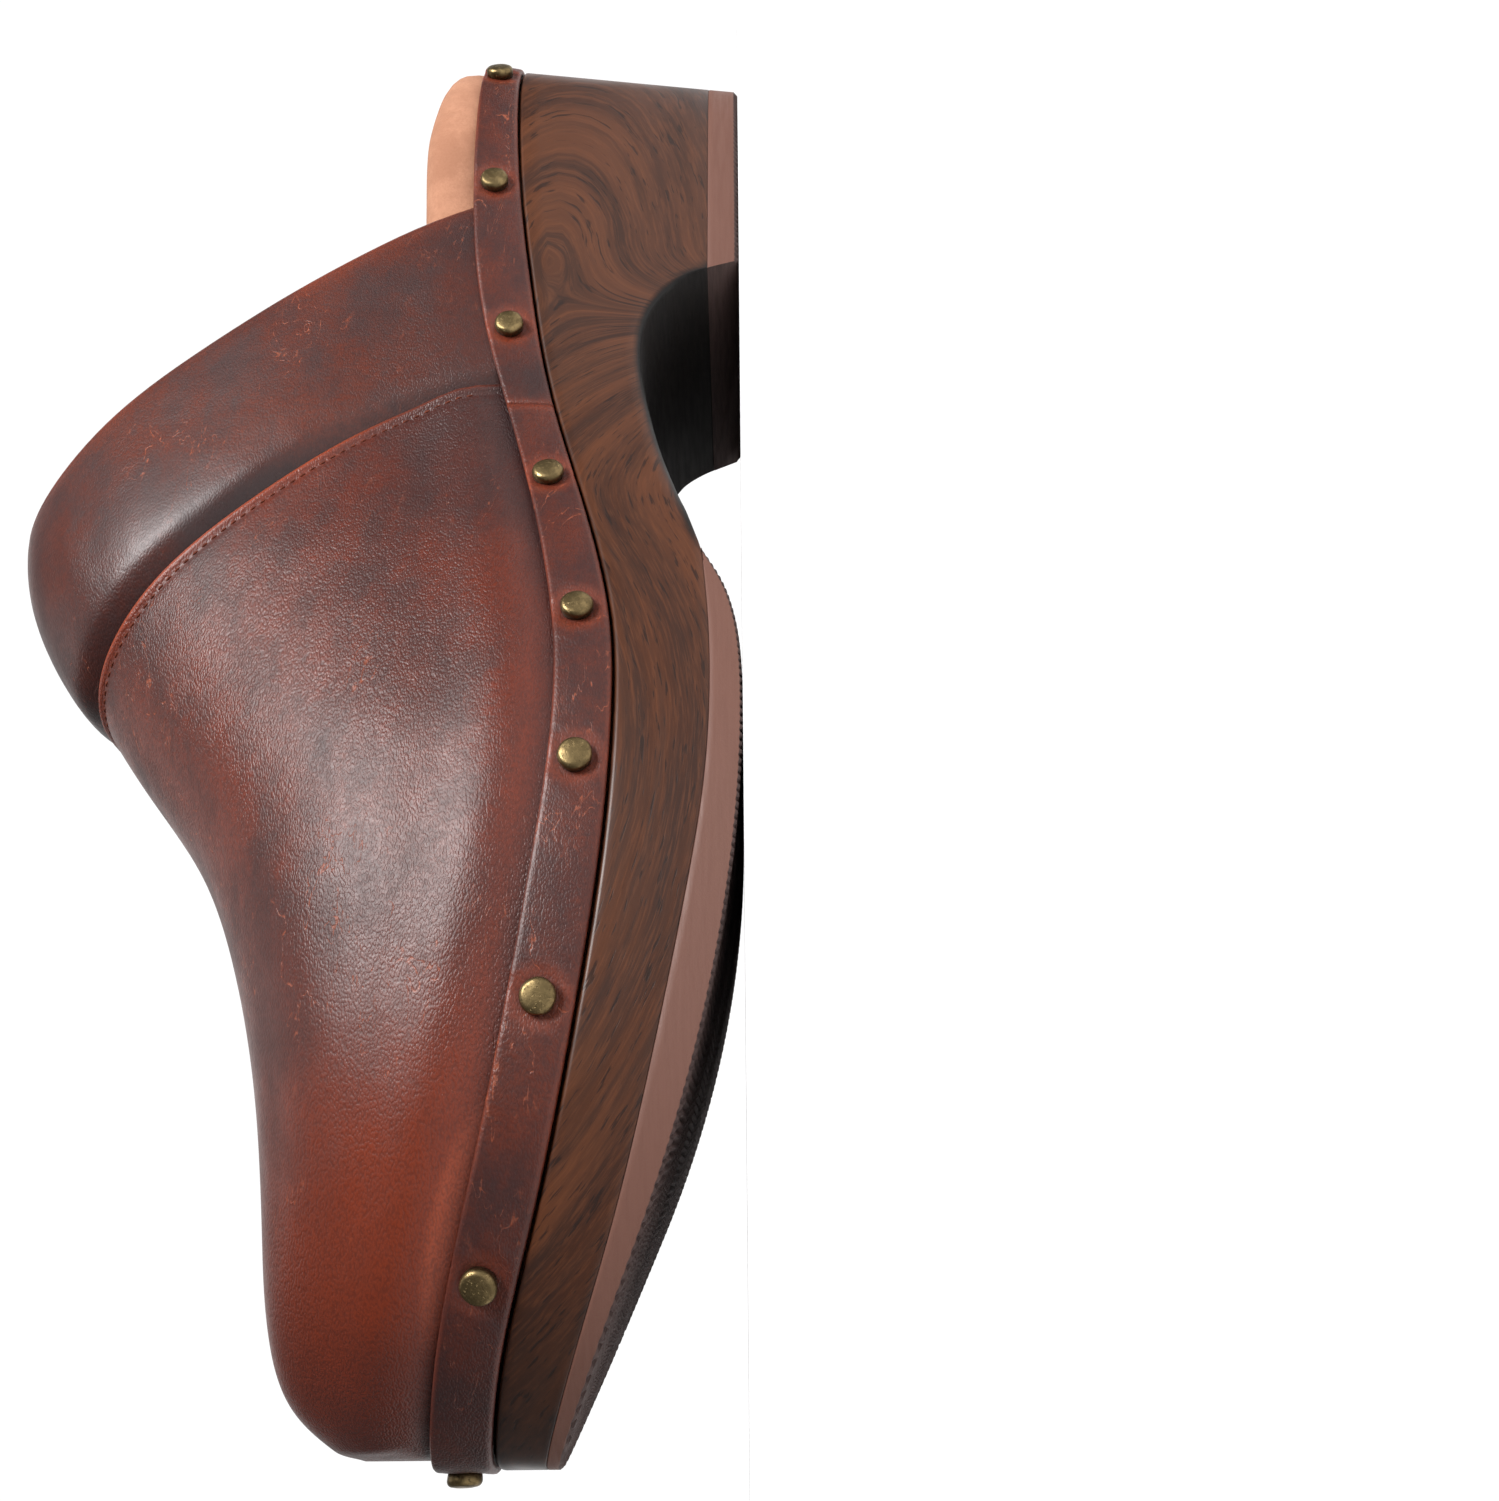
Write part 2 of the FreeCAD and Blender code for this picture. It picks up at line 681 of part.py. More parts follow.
def collar_layer(name, layers, front, back, low_column=0):
    """A layer of the collar between two side lines and two depths."""
    grids = []
    for inset in layers:
        skin = Skin(inset)
        grids.append(skin.rows(lambda column, k=skin: k.on_line(front, column),
                               lambda column, k=skin: k.on_line(back, column), EVENLY, low_column))
    return wall_solid(name, *grids)


def past(line, step):
    return lambda z: line(z) + step


vamp_blank = closed_toe("vamp_blank", seam_x, (0.0, LEATHER))
vamp = cut("vamp", vamp_blank, shank_holes["front"])
vamp_doubler = collar_layer("vamp_doubler", (LEATHER + 0.05, LEATHER + LINING - 0.05), seam_x,
                            lambda z: size("puff_start") - GAP, 1)
vamp_lining = closed_toe("vamp_lining", seam_x, (LEATHER + LINING, LEATHER + 2 * LINING), 1)
toe_puff = closed_toe("toe_puff", size("puff_start"), (LEATHER + 0.05, LEATHER + LINING - 0.05), 1,
                      lengthwise=2)
collar_blank = collar_layer("collar_blank", (0.0, LEATHER), edge_x, past(seam_x, -GAP))
collar_band = cut("collar_band", collar_blank, shank_holes["rear"])
collar_padding = collar_layer("collar_padding", (LEATHER, LEATHER + FOAM), past(edge_x, 2.0),
                              past(seam_x, -GAP), 2)
collar_lining = collar_layer("collar_lining", (LEATHER + FOAM, LEATHER + FOAM + LINING),
                             past(edge_x, 0.5), past(seam_x, -GAP), 2)


# ---------------------------------------------------------------- footbed

COVER = size("cover")


def bed_inset(extra):
    """Depth of the footbed's side inside the plan outline, shallow where the heel is open."""
    wide, narrow = size("footbed_inset"), size("margin_depth") + 0.1
    return lambda x: narrow + (wide - narrow) * smooth_step(x, 30.0, size("seat_front") - 1.0) + extra


bed_prism = plan_prism("bed_prism", bed_inset(0.0))
bed_core = plan_prism("bed_core", bed_inset(COVER))
cover_slab = slab("cover_slab", [raised(WOOD_TOP, 0.05)], [FOOTBED_TOP])
core_slab = slab("core_slab", [raised(WOOD_TOP, -3.0)], [raised(FOOTBED_TOP, -COVER)])
cushion_slab = slab("cushion_slab", [raised(WOOD_TOP, 0.05)], [raised(FOOTBED_TOP, -COVER)])
footbed_cushion = common("footbed_cushion", bed_core, cushion_slab)
cover_room = common("cover_room", bed_core, core_slab)
footbed_cover = cut("footbed_cover", common("cover_blank", bed_prism, cover_slab), cover_room)


# ---------------------------------------------------------------- stitching

def make_stitching():
    """Thread stitches that stand on the vamp a little in front of the collar seam."""
    skin = Skin(0.0)
    row = past(seam_x, size("stitch_row"))
    low, high = 2, skin.columns - 3
    knots = [skin.point(skin.on_line(row, column), column) for column in range(low, high + 1)]
    line = spline([tuple(p) for p in knots])
    total = line.length()
    count = int(total / size("stitch_pitch"))
    middle = Vector(70.0, 0.0, 50.0)
    thread = []
    for i in range(count):
        place = line.parameterAtDistance((i + 0.5) * total / count, line.FirstParameter)
        along = line.tangent(place)[0]
        point = line.value(place)
        lift = (point - middle).normalize() * (size("stitch_radius") + 0.3)
        half = along * (0.5 * size("stitch_length"))
        thread.append(Part.makeCylinder(size("stitch_radius"), size("stitch_length"),
                                        point + lift - half, along))
    return shape_feature("collar_stitching", Part.makeCompound(thread))


collar_stitching = make_stitching()


# ---------------------------------------------------------------- check and write

NODES = [wooden_sole, forefoot_outsole, heel_top_lift, footbed_cushion, footbed_cover,
         rand_strips["front"], rand_strips["rear"], rand_nails["front"], rand_nails["rear"],
         vamp, vamp_doubler, toe_puff, vamp_lining, collar_band, collar_padding, collar_lining,
         collar_stitching]

doc.recompute()
for thing in doc.Objects:
    if "Invalid" in thing.State or "Error" in thing.State:
        raise RuntimeError(f"{thing.Name} failed: {thing.State}")

os.makedirs("parts", exist_ok=True)
for node in NODES:
    shape = node.Shape
    if shape.isNull() or not shape.isValid() or not shape.Solids:
        raise RuntimeError(f"{node.Label} has no valid solid")
    box = shape.optimalBoundingBox(False)
    print(f"{node.Label:20s} solids {len(shape.Solids):3d}  volume {shape.Volume:10.1f}  "
          f"x {box.XMin:7.1f} {box.XMax:7.1f}  y {box.YMin:6.1f} {box.YMax:6.1f}  "
          f"z {box.ZMin:6.1f} {box.ZMax:6.1f}")
    shape.exportStep(os.path.join("parts", f"{node.Label}.step"))
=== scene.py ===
import math

import bpy
import bmesh
import numpy as np
from mathutils import Matrix, Vector


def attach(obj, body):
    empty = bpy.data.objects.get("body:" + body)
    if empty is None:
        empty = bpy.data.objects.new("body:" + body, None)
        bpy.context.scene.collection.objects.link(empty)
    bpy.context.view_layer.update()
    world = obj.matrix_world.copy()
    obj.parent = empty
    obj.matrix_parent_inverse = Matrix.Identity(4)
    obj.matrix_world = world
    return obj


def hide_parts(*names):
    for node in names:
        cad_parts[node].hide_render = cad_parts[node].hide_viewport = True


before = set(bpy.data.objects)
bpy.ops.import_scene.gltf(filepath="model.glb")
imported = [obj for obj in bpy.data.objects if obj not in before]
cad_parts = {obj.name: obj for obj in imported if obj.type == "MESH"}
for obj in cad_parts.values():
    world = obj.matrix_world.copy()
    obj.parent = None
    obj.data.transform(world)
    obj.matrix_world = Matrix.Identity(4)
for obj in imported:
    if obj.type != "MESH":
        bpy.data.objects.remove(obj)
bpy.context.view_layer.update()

# ---- the clog's layout
# Lengths here are millimetres from the back of the heel (x = 0) to the toe tip, +Y towards the inner
# side of the foot, +Z up from the ground. to_frame() carries them to the CAD frame in metres.
LENGTH, ORIGIN_X, SEAT = 255.0, 36.0, 45.0
INNER_SIDE = [(1.2, 11), (5.5, 23), (15, 29.8), (30, 32.8), (50, 33.6), (75, 34), (100, 36), (125, 41),
              (150, 46), (172, 48.2), (200, 46), (215, 42.5), (230, 36), (240, 29), (248, 20)]
OUTER_SIDE = [(1.2, 11), (5.5, 22.5), (15, 29), (30, 31.5), (50, 32), (75, 33), (100, 36.5), (125, 43),
              (148, 47.5), (168, 48), (190, 45.5), (208, 41), (224, 34), (238, 25), (248, 15)]
RAND_TOP = [(-5, 48.6), (10, 48.4), (25, 48.2), (45, 47.5), (70, 45), (98, 38), (121, 30.8), (140, 27.1),
            (158, 26.7), (180, 28.9), (210, 33.6), (235, 39.2), (255, 43.2), (262, 44.5)]
RAND_FOOT = [(-5, 42.3), (10, 41.6), (45, 39.3), (72, 35.6), (97, 30.6), (116, 24.4), (134, 19.5),
             (152, 18.2), (170, 18.8), (194, 21.7), (220, 26.7), (240, 31.9), (255, 34.9), (262, 36.4)]
ARCH = [(63.4, 5.6), (65.4, 9.3), (69.4, 13.1), (74.5, 15.7), (81, 16.8), (89.3, 16.4), (97.6, 14.9),
        (105.7, 12.8), (114, 9.8), (124, 6.1)]
OUTSOLE_TOP = [(124, 6.1), (136, 5.0), (150, 4.7), (164, 5.5), (180, 7.9), (200, 11.8), (220, 16.6),
               (240, 23.0), (262, 30.4)]
OUTSOLE_HEEL = [(124, 6.1), (127, 4.2), (130, 2.7), (134, 1.45), (138, 0.7), (144, 0.15), (150, 0.0)]
FOOTBED_TOP = [(-5, 54.5), (8, 55.6), (25, 57.3), (50, 57.2), (70, 53.5), (98, 45.5), (121, 37.6),
               (140, 33), (158, 32), (180, 33.8), (210, 38.3), (235, 43.6), (262, 49)]
RIDGE = [(40, 132.4), (70, 132.3), (100, 128.4), (120, 121), (134, 112), (152, 99.3), (171, 85),
         (190, 75.9), (209, 70.2), (225, 67.8), (239, 66), (247, 63), (252, 57.2), (255, 46)]
OPENING_EDGE = [(41.5, 30), (47.6, 44), (52.7, 55), (59.2, 66), (67, 78), (78, 94), (89.9, 110),
                (100.3, 120.5), (113.8, 134), (123, 141)]
COLLAR_SEAM = [(88, 20), (90.4, 34), (96.6, 52), (105.1, 66), (115.1, 78), (127.8, 92), (139.8, 103),
               (150.7, 112), (163.3, 122)]
FRONT_NAILS = [114.5, 142.9, 168.5, 201.4, 234.5]
REAR_NAILS = [14.5, 46.3, 80.0]
LIFT_THICK, HEEL_BREAST, BREAST_LEAN = 5.6, 63.4, 2.2
HEEL_TAPER, HEEL_RAKE = 0.12, 3.0
ROCKER_START, ROCKER_END, ROCKER_RADIUS, ROCKER_SLANT = 150.0, 225.0, 205.0, 0.18
OUTSOLE_START, RAND_JOINT = 124.0, 98.0
INSIDE = np.array([120.0, 0.0, 45.0])     # a point well inside the clog
RAND_PROUD, RAND_INNER, REBATE, MARGIN = 0.5, 1.15, 3.05, 1.3   # depths from the outline


def smooth_step(value, low, high):
    """0 below low, 1 above high, and a smooth ramp between."""
    share = np.clip((np.asarray(value, float) - low) / (high - low), 0.0, 1.0)
    return share * share * (3.0 - 2.0 * share)


def bump_at(value, centre, width):
    """Bell curve: 1 at the centre, fading over the width."""
    return np.exp(-(((np.asarray(value, float) - centre) / width) ** 2))


class Curve:
    """Smooth curve through points, by distance from point to point."""

    def __init__(self, points, closed=False):
        p = np.array(points, float)
        if closed:
            p = np.vstack([p, p[:1]])
        t = np.concatenate([[0.0], np.cumsum(np.linalg.norm(np.diff(p, axis=0), axis=1))])
        n, h = len(p), np.diff(t)
        rows, right = np.zeros((n, n)), np.zeros_like(p)
        slope = np.diff(p, axis=0) / h[:, None]
        for i in range(1, n - 1):
            rows[i, i - 1:i + 2] = h[i - 1], 2 * (h[i - 1] + h[i]), h[i]
            right[i] = 6 * (slope[i] - slope[i - 1])
        if closed:
            rows[0, 0], rows[0, -1] = 1, -1
            rows[-1, 0], rows[-1, 1], rows[-1, -2], rows[-1, -1] = 2 * h[0], h[0], h[-1], 2 * h[-1]
            right[-1] = 6 * (slope[0] - slope[-1])
        else:
            rows[0, :2] = rows[-1, -2:] = 1, -1
        self.p, self.t, self.bend = p, t, np.linalg.solve(rows, right)

    def at(self, t):
        t = np.atleast_1d(np.asarray(t, float))
        i = np.clip(np.searchsorted(self.t, t) - 1, 0, len(self.t) - 2)
        h = (self.t[i + 1] - self.t[i])[:, None]
        a = (self.t[i + 1] - t)[:, None] / h
        b = 1 - a
        return (a * self.p[i] + b * self.p[i + 1]
                + ((a ** 3 - a) * self.bend[i] + (b ** 3 - b) * self.bend[i + 1]) * h * h / 6)


def height_on(profile):
    """Function u -> z of a profile that runs along x."""
    curve = Curve(profile)
    dense = curve.at(np.linspace(0, curve.t[-1], 3000))
    return lambda u: np.interp(u, dense[:, 0], dense[:, 1])


def slant(u, y):
    """x of a point at station u: forefoot stations run across the sole at a slant."""
    return u + ROCKER_SLANT * y * smooth_step(u, 90, 135)


def unslant(x, y):
    """Station u of a plan point: the inverse of slant()."""
    u = np.array(x, float)
    for _ in range(30):
        u = u + x - slant(u, y)
    return u


rand_top, rand_foot = height_on(RAND_TOP), height_on(RAND_FOOT)
arch, outsole_top, bed_top, ridge = (height_on(p) for p in (ARCH, OUTSOLE_TOP, FOOTBED_TOP, RIDGE))
outsole_heel = height_on(OUTSOLE_HEEL)


def tread_z(u):
    """Height of the forefoot's ground face: feathered rear edge, flat, rocker arc, straight toe spring."""
    arc_end = ROCKER_END - ROCKER_START
    run = np.clip(u - ROCKER_START, 0, arc_end)
    arc = ROCKER_RADIUS - np.sqrt(ROCKER_RADIUS ** 2 - run ** 2)
    slope = arc_end / math.sqrt(ROCKER_RADIUS ** 2 - arc_end ** 2)
    return np.where(u < ROCKER_START, outsole_heel(u), arc + slope * np.maximum(u - ROCKER_END, 0))


def wood_bottom(u):
    """Height of the wood's underside: heel block, arch, then the seat of the outsole."""
    return np.where(u < HEEL_BREAST, LIFT_THICK, np.where(u < OUTSOLE_START, arch(u), outsole_top(u)))


# ---- outline and rings
ROUND_TIP = [(254.72, 5.5), (LENGTH, 0), (254.75, -3.9)]
RING = [(0, 0)] + INNER_SIDE + ROUND_TIP + [(x, -y) for x, y in reversed(OUTER_SIDE)]
outline = Curve(RING, closed=True)
_tip = outline.t[len(INNER_SIDE) + 2]
_step = 0.01


def _side_table(low, high):
    """Points and inward normals along one stretch of the outline."""
    t = np.linspace(low, high, 4000)
    ahead = outline.at((t + _step) % outline.t[-1]) - outline.at((t - _step) % outline.t[-1])
    along = ahead / np.linalg.norm(ahead, axis=1)[:, None]
    at = outline.at(t)
    at[:, 0] = np.clip(at[:, 0], 0.0, LENGTH)
    return at, np.stack([along[:, 1], -along[:, 0]], 1)


SIDES = {1: _side_table(0.0, _tip), -1: tuple(a[::-1] for a in _side_table(_tip, outline.t[-1]))}


def rim_xy(x, side, depth):
    """Plan points at a depth inside the outline, by the outline's own x."""
    at, normal = SIDES[side]
    order = at[:, 0]
    px, py = (np.interp(x, order, at[:, k]) for k in (0, 1))
    nx, ny = (np.interp(x, order, normal[:, k]) for k in (0, 1))
    size = np.hypot(nx, ny)
    ends = (x <= 0) | (x >= LENGTH)
    ny = np.where(ends, 0.0, ny)
    nx = np.where(x <= 0, 1.0, np.where(x >= LENGTH, -1.0, nx))
    size = np.where(ends, 1.0, size)
    return px + nx / size * depth, np.where(ends, 0.0, py) + ny / size * depth


def taper(x, z):
    """Share of the width left at a height: the heel block narrows towards the ground."""
    return 1.0 - HEEL_TAPER * (SEAT - z) / SEAT * (1.0 - smooth_step(x, 70, 130))


def rake(x, z):
    """How far the heel's back leans forward at a height."""
    return HEEL_RAKE * (SEAT - z) / SEAT * (1.0 - smooth_step(x, 0, 60))


def lean(px, py, height):
    """Points over a plan place, at the height that height(u) gives, leaned with the heel."""
    z = height(unslant(px, py))
    for _ in range(3):
        qx, qy = px + rake(px, z), py * taper(px, z)
        z = height(unslant(qx, qy))
    return np.stack([qx, qy, z], -1)


def rim(x, side, depth, height):
    """Points along one side of the clog at a depth inside its outline."""
    px, py = rim_xy(np.asarray(x, float), side, depth)
    return lean(px, py, height)


def tip_stations(low, high, count, both=False):
    """Stations from low to high, crowded where the outline turns square to x."""
    share = np.linspace(0, 1, count + 1)
    if both:
        return low + (high - low) * (1 - np.cos(math.pi * share)) / 2
    return low + (high - low) * np.sin(math.pi / 2 * share)


def paired_body(inner_x, outer_x, rings, across, bottom, top):
    """Grid rows from station to station; each row is a closed loop: bottom, side, top, side."""
    inner, outer = ([rim(x, side, d(x) if callable(d) else d, h) for d, h in rings]
                    for x, side in ((inner_x, 1), (outer_x, -1)))
    shares = np.linspace(0, 1, across + 1)[1:-1]

    def span(a, b, height):
        columns = []
        for s in shares:
            x, y = (a[:, k] * (1 - s) + b[:, k] * s for k in (0, 1))
            columns.append(np.stack([x, y, height(unslant(x, y), x, y)], -1))
        return columns
    loop = span(outer[0], inner[0], bottom) + inner + span(inner[-1], outer[-1], top) + outer[::-1]
    return np.stack(loop, 1)


# ---- meshes
def to_frame(points):
    """The clog's own millimetres carried to the CAD frame's metres."""
    moved = np.array(points, float)
    moved[..., 0] -= ORIGIN_X
    return moved / 1000.0


WELD, SLIVER = 2e-6, 1e-6                  # metres: points this close are one, edges this short are none


def make_object(name, grids, materials, node_names, attributes=None, caps=False):
    """Object from grids of points: (points, closed across, material index or per-column list)."""
    mesh = bpy.data.meshes.new(name)
    verts, faces, indices, extra = [], [], [], {k: [] for k in (attributes or {})}
    base = 0
    for grid in grids:
        points, closed, index = grid
        rows, columns = points.shape[:2]
        verts.append(points.reshape(-1, 3))
        for key in extra:
            extra[key].append(np.asarray(attributes[key](points)).reshape(rows * columns, -1))
        last = columns if closed else columns - 1
        i, j = np.meshgrid(np.arange(rows - 1), np.arange(last), indexing="ij")
        k = (j + 1) % columns
        quads = np.stack([i * columns + j, i * columns + k, (i + 1) * columns + k,
                          (i + 1) * columns + j], -1).reshape(-1, 4) + base
        faces.append(quads)
        chosen = np.asarray(index)
        indices.append(np.full(len(quads), index) if chosen.ndim == 0
                       else np.tile(chosen[:last], rows - 1))
        base += rows * columns
    points = np.vstack(verts)
    mesh.from_pydata(to_frame(points).tolist(), [], np.vstack(faces).tolist())
    mesh.polygons.foreach_set("material_index", np.concatenate(indices).astype(np.int32))
    for key, parts in extra.items():
        values = np.vstack(parts)
        kind = "FLOAT" if values.shape[1] == 1 else "FLOAT_VECTOR"
        layer = mesh.attributes.new(key, kind, "POINT")
        layer.data.foreach_set("value" if kind == "FLOAT" else "vector",
                               values.astype(np.float32).ravel())
    bm = bmesh.new()
    bm.from_mesh(mesh)
    bmesh.ops.remove_doubles(bm, verts=bm.verts, dist=WELD)
    bmesh.ops.dissolve_degenerate(bm, dist=SLIVER, edges=bm.edges)
    if caps:
        bmesh.ops.holes_fill(bm, edges=[e for e in bm.edges if e.is_boundary], sides=0)
    bmesh.ops.recalc_face_normals(bm, faces=bm.faces)
    for face in bm.faces:
        face.smooth = True
    bm.to_mesh(mesh)
    bm.free()
    for material in materials:
        mesh.materials.append(material)
    piece = bpy.data.objects.new(name, mesh)
    bpy.context.scene.collection.objects.link(piece)
    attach(piece, "root")
    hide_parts(*node_names)
    return piece


def sharpen(piece, degrees):
    """Marks the edges that turn more than this, so that smooth shading stops there."""
    bm = bmesh.new()
    bm.from_mesh(piece.data)
    for edge in bm.edges:
        if len(edge.link_faces) == 2 and edge.calc_face_angle(0.0) > math.radians(degrees):
            edge.smooth = False
    bm.to_mesh(piece.data)
    bm.free()


# ---- shader helpers
class Paint:
    """A node material; every method adds one node and returns its output."""

    def __init__(self, name, roughness, specular=0.5, sheen=0.0, sheen_tint=(1, 1, 1, 1), coat=0.0,
                 coat_roughness=0.1, metallic=0.0):
        self.material = bpy.data.materials.new(name)
        self.material.use_nodes = True
        self.tree = self.material.node_tree
        self.tree.nodes.clear()
        self.shader = self.tree.nodes.new("ShaderNodeBsdfPrincipled")
        output = self.tree.nodes.new("ShaderNodeOutputMaterial")
        self.tree.links.new(self.shader.outputs[0], output.inputs["Surface"])
        for socket, value in (("Roughness", roughness), ("Specular IOR Level", specular),
                              ("Sheen Weight", sheen), ("Sheen Tint", sheen_tint),
                              ("Sheen Roughness", 0.5), ("Coat Weight", coat),
                              ("Coat Roughness", coat_roughness), ("Metallic", metallic)):
            self.shader.inputs[socket].default_value = value
        place = self.tree.nodes.new("ShaderNodeTexCoord")
        scale = self.tree.nodes.new("ShaderNodeVectorMath")
        scale.operation = "SCALE"
        scale.inputs["Scale"].default_value = 1000.0    # node scales below are per millimetre
        self.tree.links.new(place.outputs["Object"], scale.inputs[0])
        self.place = scale.outputs[0]

    def feed(self, socket, value):
        if isinstance(value, bpy.types.NodeSocket):
            self.tree.links.new(value, socket)
        elif value is not None:
            socket.default_value = value

    def node(self, kind, out, settings=None, **inputs):
        made = self.tree.nodes.new(kind)
        for key, value in (settings or {}).items():
            setattr(made, key, value)
        for key, value in inputs.items():
            self.feed(made.inputs[int(key[1:]) if key[1:].isdigit() else key.replace("_", " ")], value)
        return made.outputs[out]

    def noise(self, scale, detail=2.0, rough=0.5, vector=None, distortion=0.0):
        return self.node("ShaderNodeTexNoise", "Fac", Vector=vector or self.place, Scale=scale,
                         Detail=detail, Roughness=rough, Distortion=distortion)

    def cells(self, scale, vector=None, feature="F1"):
        return self.node("ShaderNodeTexVoronoi", "Distance", {"feature": feature},
                         Vector=vector or self.place, Scale=scale, Randomness=1.0)

    def math(self, operation, a, b=None):
        return self.node("ShaderNodeMath", 0, {"operation": operation}, i0=a, i1=b)

    def times(self, a, b):
        return self.math("MULTIPLY", a, b)

    def plus(self, a, b):
        return self.math("ADD", a, b)

    def minus(self, a, b):
        return self.math("SUBTRACT", a, b)

    def fit(self, value, low, high, to_low=0.0, to_high=1.0):
        made = self.tree.nodes.new("ShaderNodeMapRange")
        made.interpolation_type = "SMOOTHSTEP"
        for key, item in zip(range(5), (value, low, high, to_low, to_high)):
            self.feed(made.inputs[key], item)
        return made.outputs[0]

    def mix(self, share, a, b):
        made = self.tree.nodes.new("ShaderNodeMix")
        made.data_type = "RGBA"
        self.feed(made.inputs[0], share)
        for key, item in ((6, a), (7, b)):
            self.feed(made.inputs[key], (*item, 1.0) if isinstance(item, tuple) else item)
        return made.outputs[2]

    def stretch(self, scale, turn=(0, 0, 0), vector=None, shift=(0, 0, 0)):
        made = self.tree.nodes.new("ShaderNodeMapping")
        self.feed(made.inputs["Vector"], vector or self.place)
        made.inputs["Location"].default_value = shift
        made.inputs["Rotation"].default_value = [math.radians(a) for a in turn]
        made.inputs["Scale"].default_value = scale
        return made.outputs[0]

    def attribute(self, name, out="Fac"):
        made = self.tree.nodes.new("ShaderNodeAttribute")
        made.attribute_name = name
        return made.outputs[out]

    def bump(self, height, distance, strength=1.0, normal=None):
        made = self.tree.nodes.new("ShaderNodeBump")
        made.inputs["Strength"].default_value = strength
        made.inputs["Distance"].default_value = distance / 1000.0
        self.feed(made.inputs["Height"], height)
        if normal is not None:
            self.feed(made.inputs["Normal"], normal)
        return made.outputs[0]

    def finish(self, colour=None, roughness=None, normal=None):
        for key, item in (("Base Color", colour), ("Roughness", roughness), ("Normal", normal)):
            if item is not None:
                self.feed(self.shader.inputs[key], (*item, 1.0) if isinstance(item, tuple) else item)
        return self.material


RUST = (0.30, 0.052, 0.018)
# near-black that the leathers darken towards for painted shade
PAINTED_SHADE = (0.019, 0.0085, 0.0090)
SCUFF, RUBBED = (0.33, 0.080, 0.034), (0.25, 0.052, 0.020)


def leather(name, dark, middle, red, edge, purple_share, grain, scuffs):
    """Waxed pull-up leather: red-brown under a darker purplish bloom, with pale rust creases."""
    p = Paint(name, 0.42, specular=0.42, coat=0.05, coat_roughness=0.3)
    cloud = p.noise(0.022, 3.0, 0.5)
    patch = p.noise(0.085, 7.0, 0.66, vector=p.stretch((0.75, 1, 1.35), turn=(0, 38, 0), shift=(31, 7, 12)))
    fine = p.noise(1.1, 6.0, 0.7, vector=p.stretch((1, 1, 0.55), turn=(0, 35, 0)))
    bloom = p.fit(p.plus(p.times(cloud, 0.7), p.times(patch, 0.3)),
                  0.40, 0.62)
    colour = p.mix(bloom, red, middle)
    colour = p.mix(p.times(p.fit(patch, 0.38, 0.74), purple_share), colour, dark)
    colour = p.mix(p.fit(fine, 0.35, 0.7, 0.0, 0.5), colour, dark)
    speck = p.noise(3.2, 3.0, 0.6)
    colour = p.mix(p.fit(speck, 0.52, 0.72, 0.0, 0.4), colour, red)
    # fine pale creases: the line where a warped noise crosses its middle value
    lines = p.noise(0.085, 3.0, 0.6, vector=p.stretch((0.6, 1.0, 1.9), turn=(0, 40, 15)), distortion=0.8)
    thin = p.fit(p.math("ABSOLUTE", p.minus(lines, 0.5)), 0.0, 0.009, 1.0, 0.0)
    where = p.fit(p.noise(0.04, 2.0, 0.5, vector=p.stretch((1, 1, 1), shift=(5, 90, 40))), 0.48, 0.62)
    broken = p.fit(p.noise(0.9, 3.0, 0.6), 0.42, 0.6)
    crease = p.times(p.times(thin, where), p.times(broken, scuffs))
    colour = p.mix(p.times(crease, 0.6), colour, SCUFF)
    rub = p.fit(p.noise(0.20, 5.0, 0.75, vector=p.stretch((1, 1, 1.8), turn=(0, 40, 0),
                                                          shift=(60, 0, 3))), 0.60, 0.80)
    colour = p.mix(p.times(rub, 0.45 * scuffs), colour, RUBBED)
    worn = p.attribute("worn")
    colour = p.mix(p.times(worn, p.fit(fine, 0.2, 0.6, 0.75, 1.0)), colour, edge)
    colour = p.mix(p.fit(worn, 0.78, 0.92), colour, RUST)
    # painted shade: each leather darkens by its part's attribute, in the creases by the rand, the valley
    # above the seam and at the toe; on the rand also by its joint
    colour = p.mix(p.attribute("painted_shade_and_stain"), colour, PAINTED_SHADE)
    # grain: small cells drawn out along the slope of the instep, with dark pits between
    warp = p.stretch((1.0, 1.0, 1.8), turn=(0, 38, 0))
    pebble = p.cells(2.3, vector=warp, feature="SMOOTH_F1")
    pits = p.fit(pebble, 0.22, 0.72)
    colour = p.mix(p.times(pits, 0.35), colour, dark)
    relief = p.plus(p.times(pits, -1.0), p.times(speck, 0.25))
    relief = p.minus(relief, p.times(crease, 0.8))
    strength = p.fit(p.noise(0.03, 1.0, 0.5, vector=p.stretch((1, 1, 1), shift=(11, 3, 70))), 0.35, 0.65,
                     0.45, 1.0)
    relief = p.times(relief, strength)
    wave = p.noise(0.07, 2.0, 0.5)
    normal = p.bump(relief, grain, 1.0, normal=p.bump(wave, 0.35, 1.0))
    rough = p.fit(p.plus(p.times(patch, 0.6), p.times(fine, 0.4)),
                  0.35, 0.65, 0.36, 0.48)
    return p.finish(colour, rough, normal)


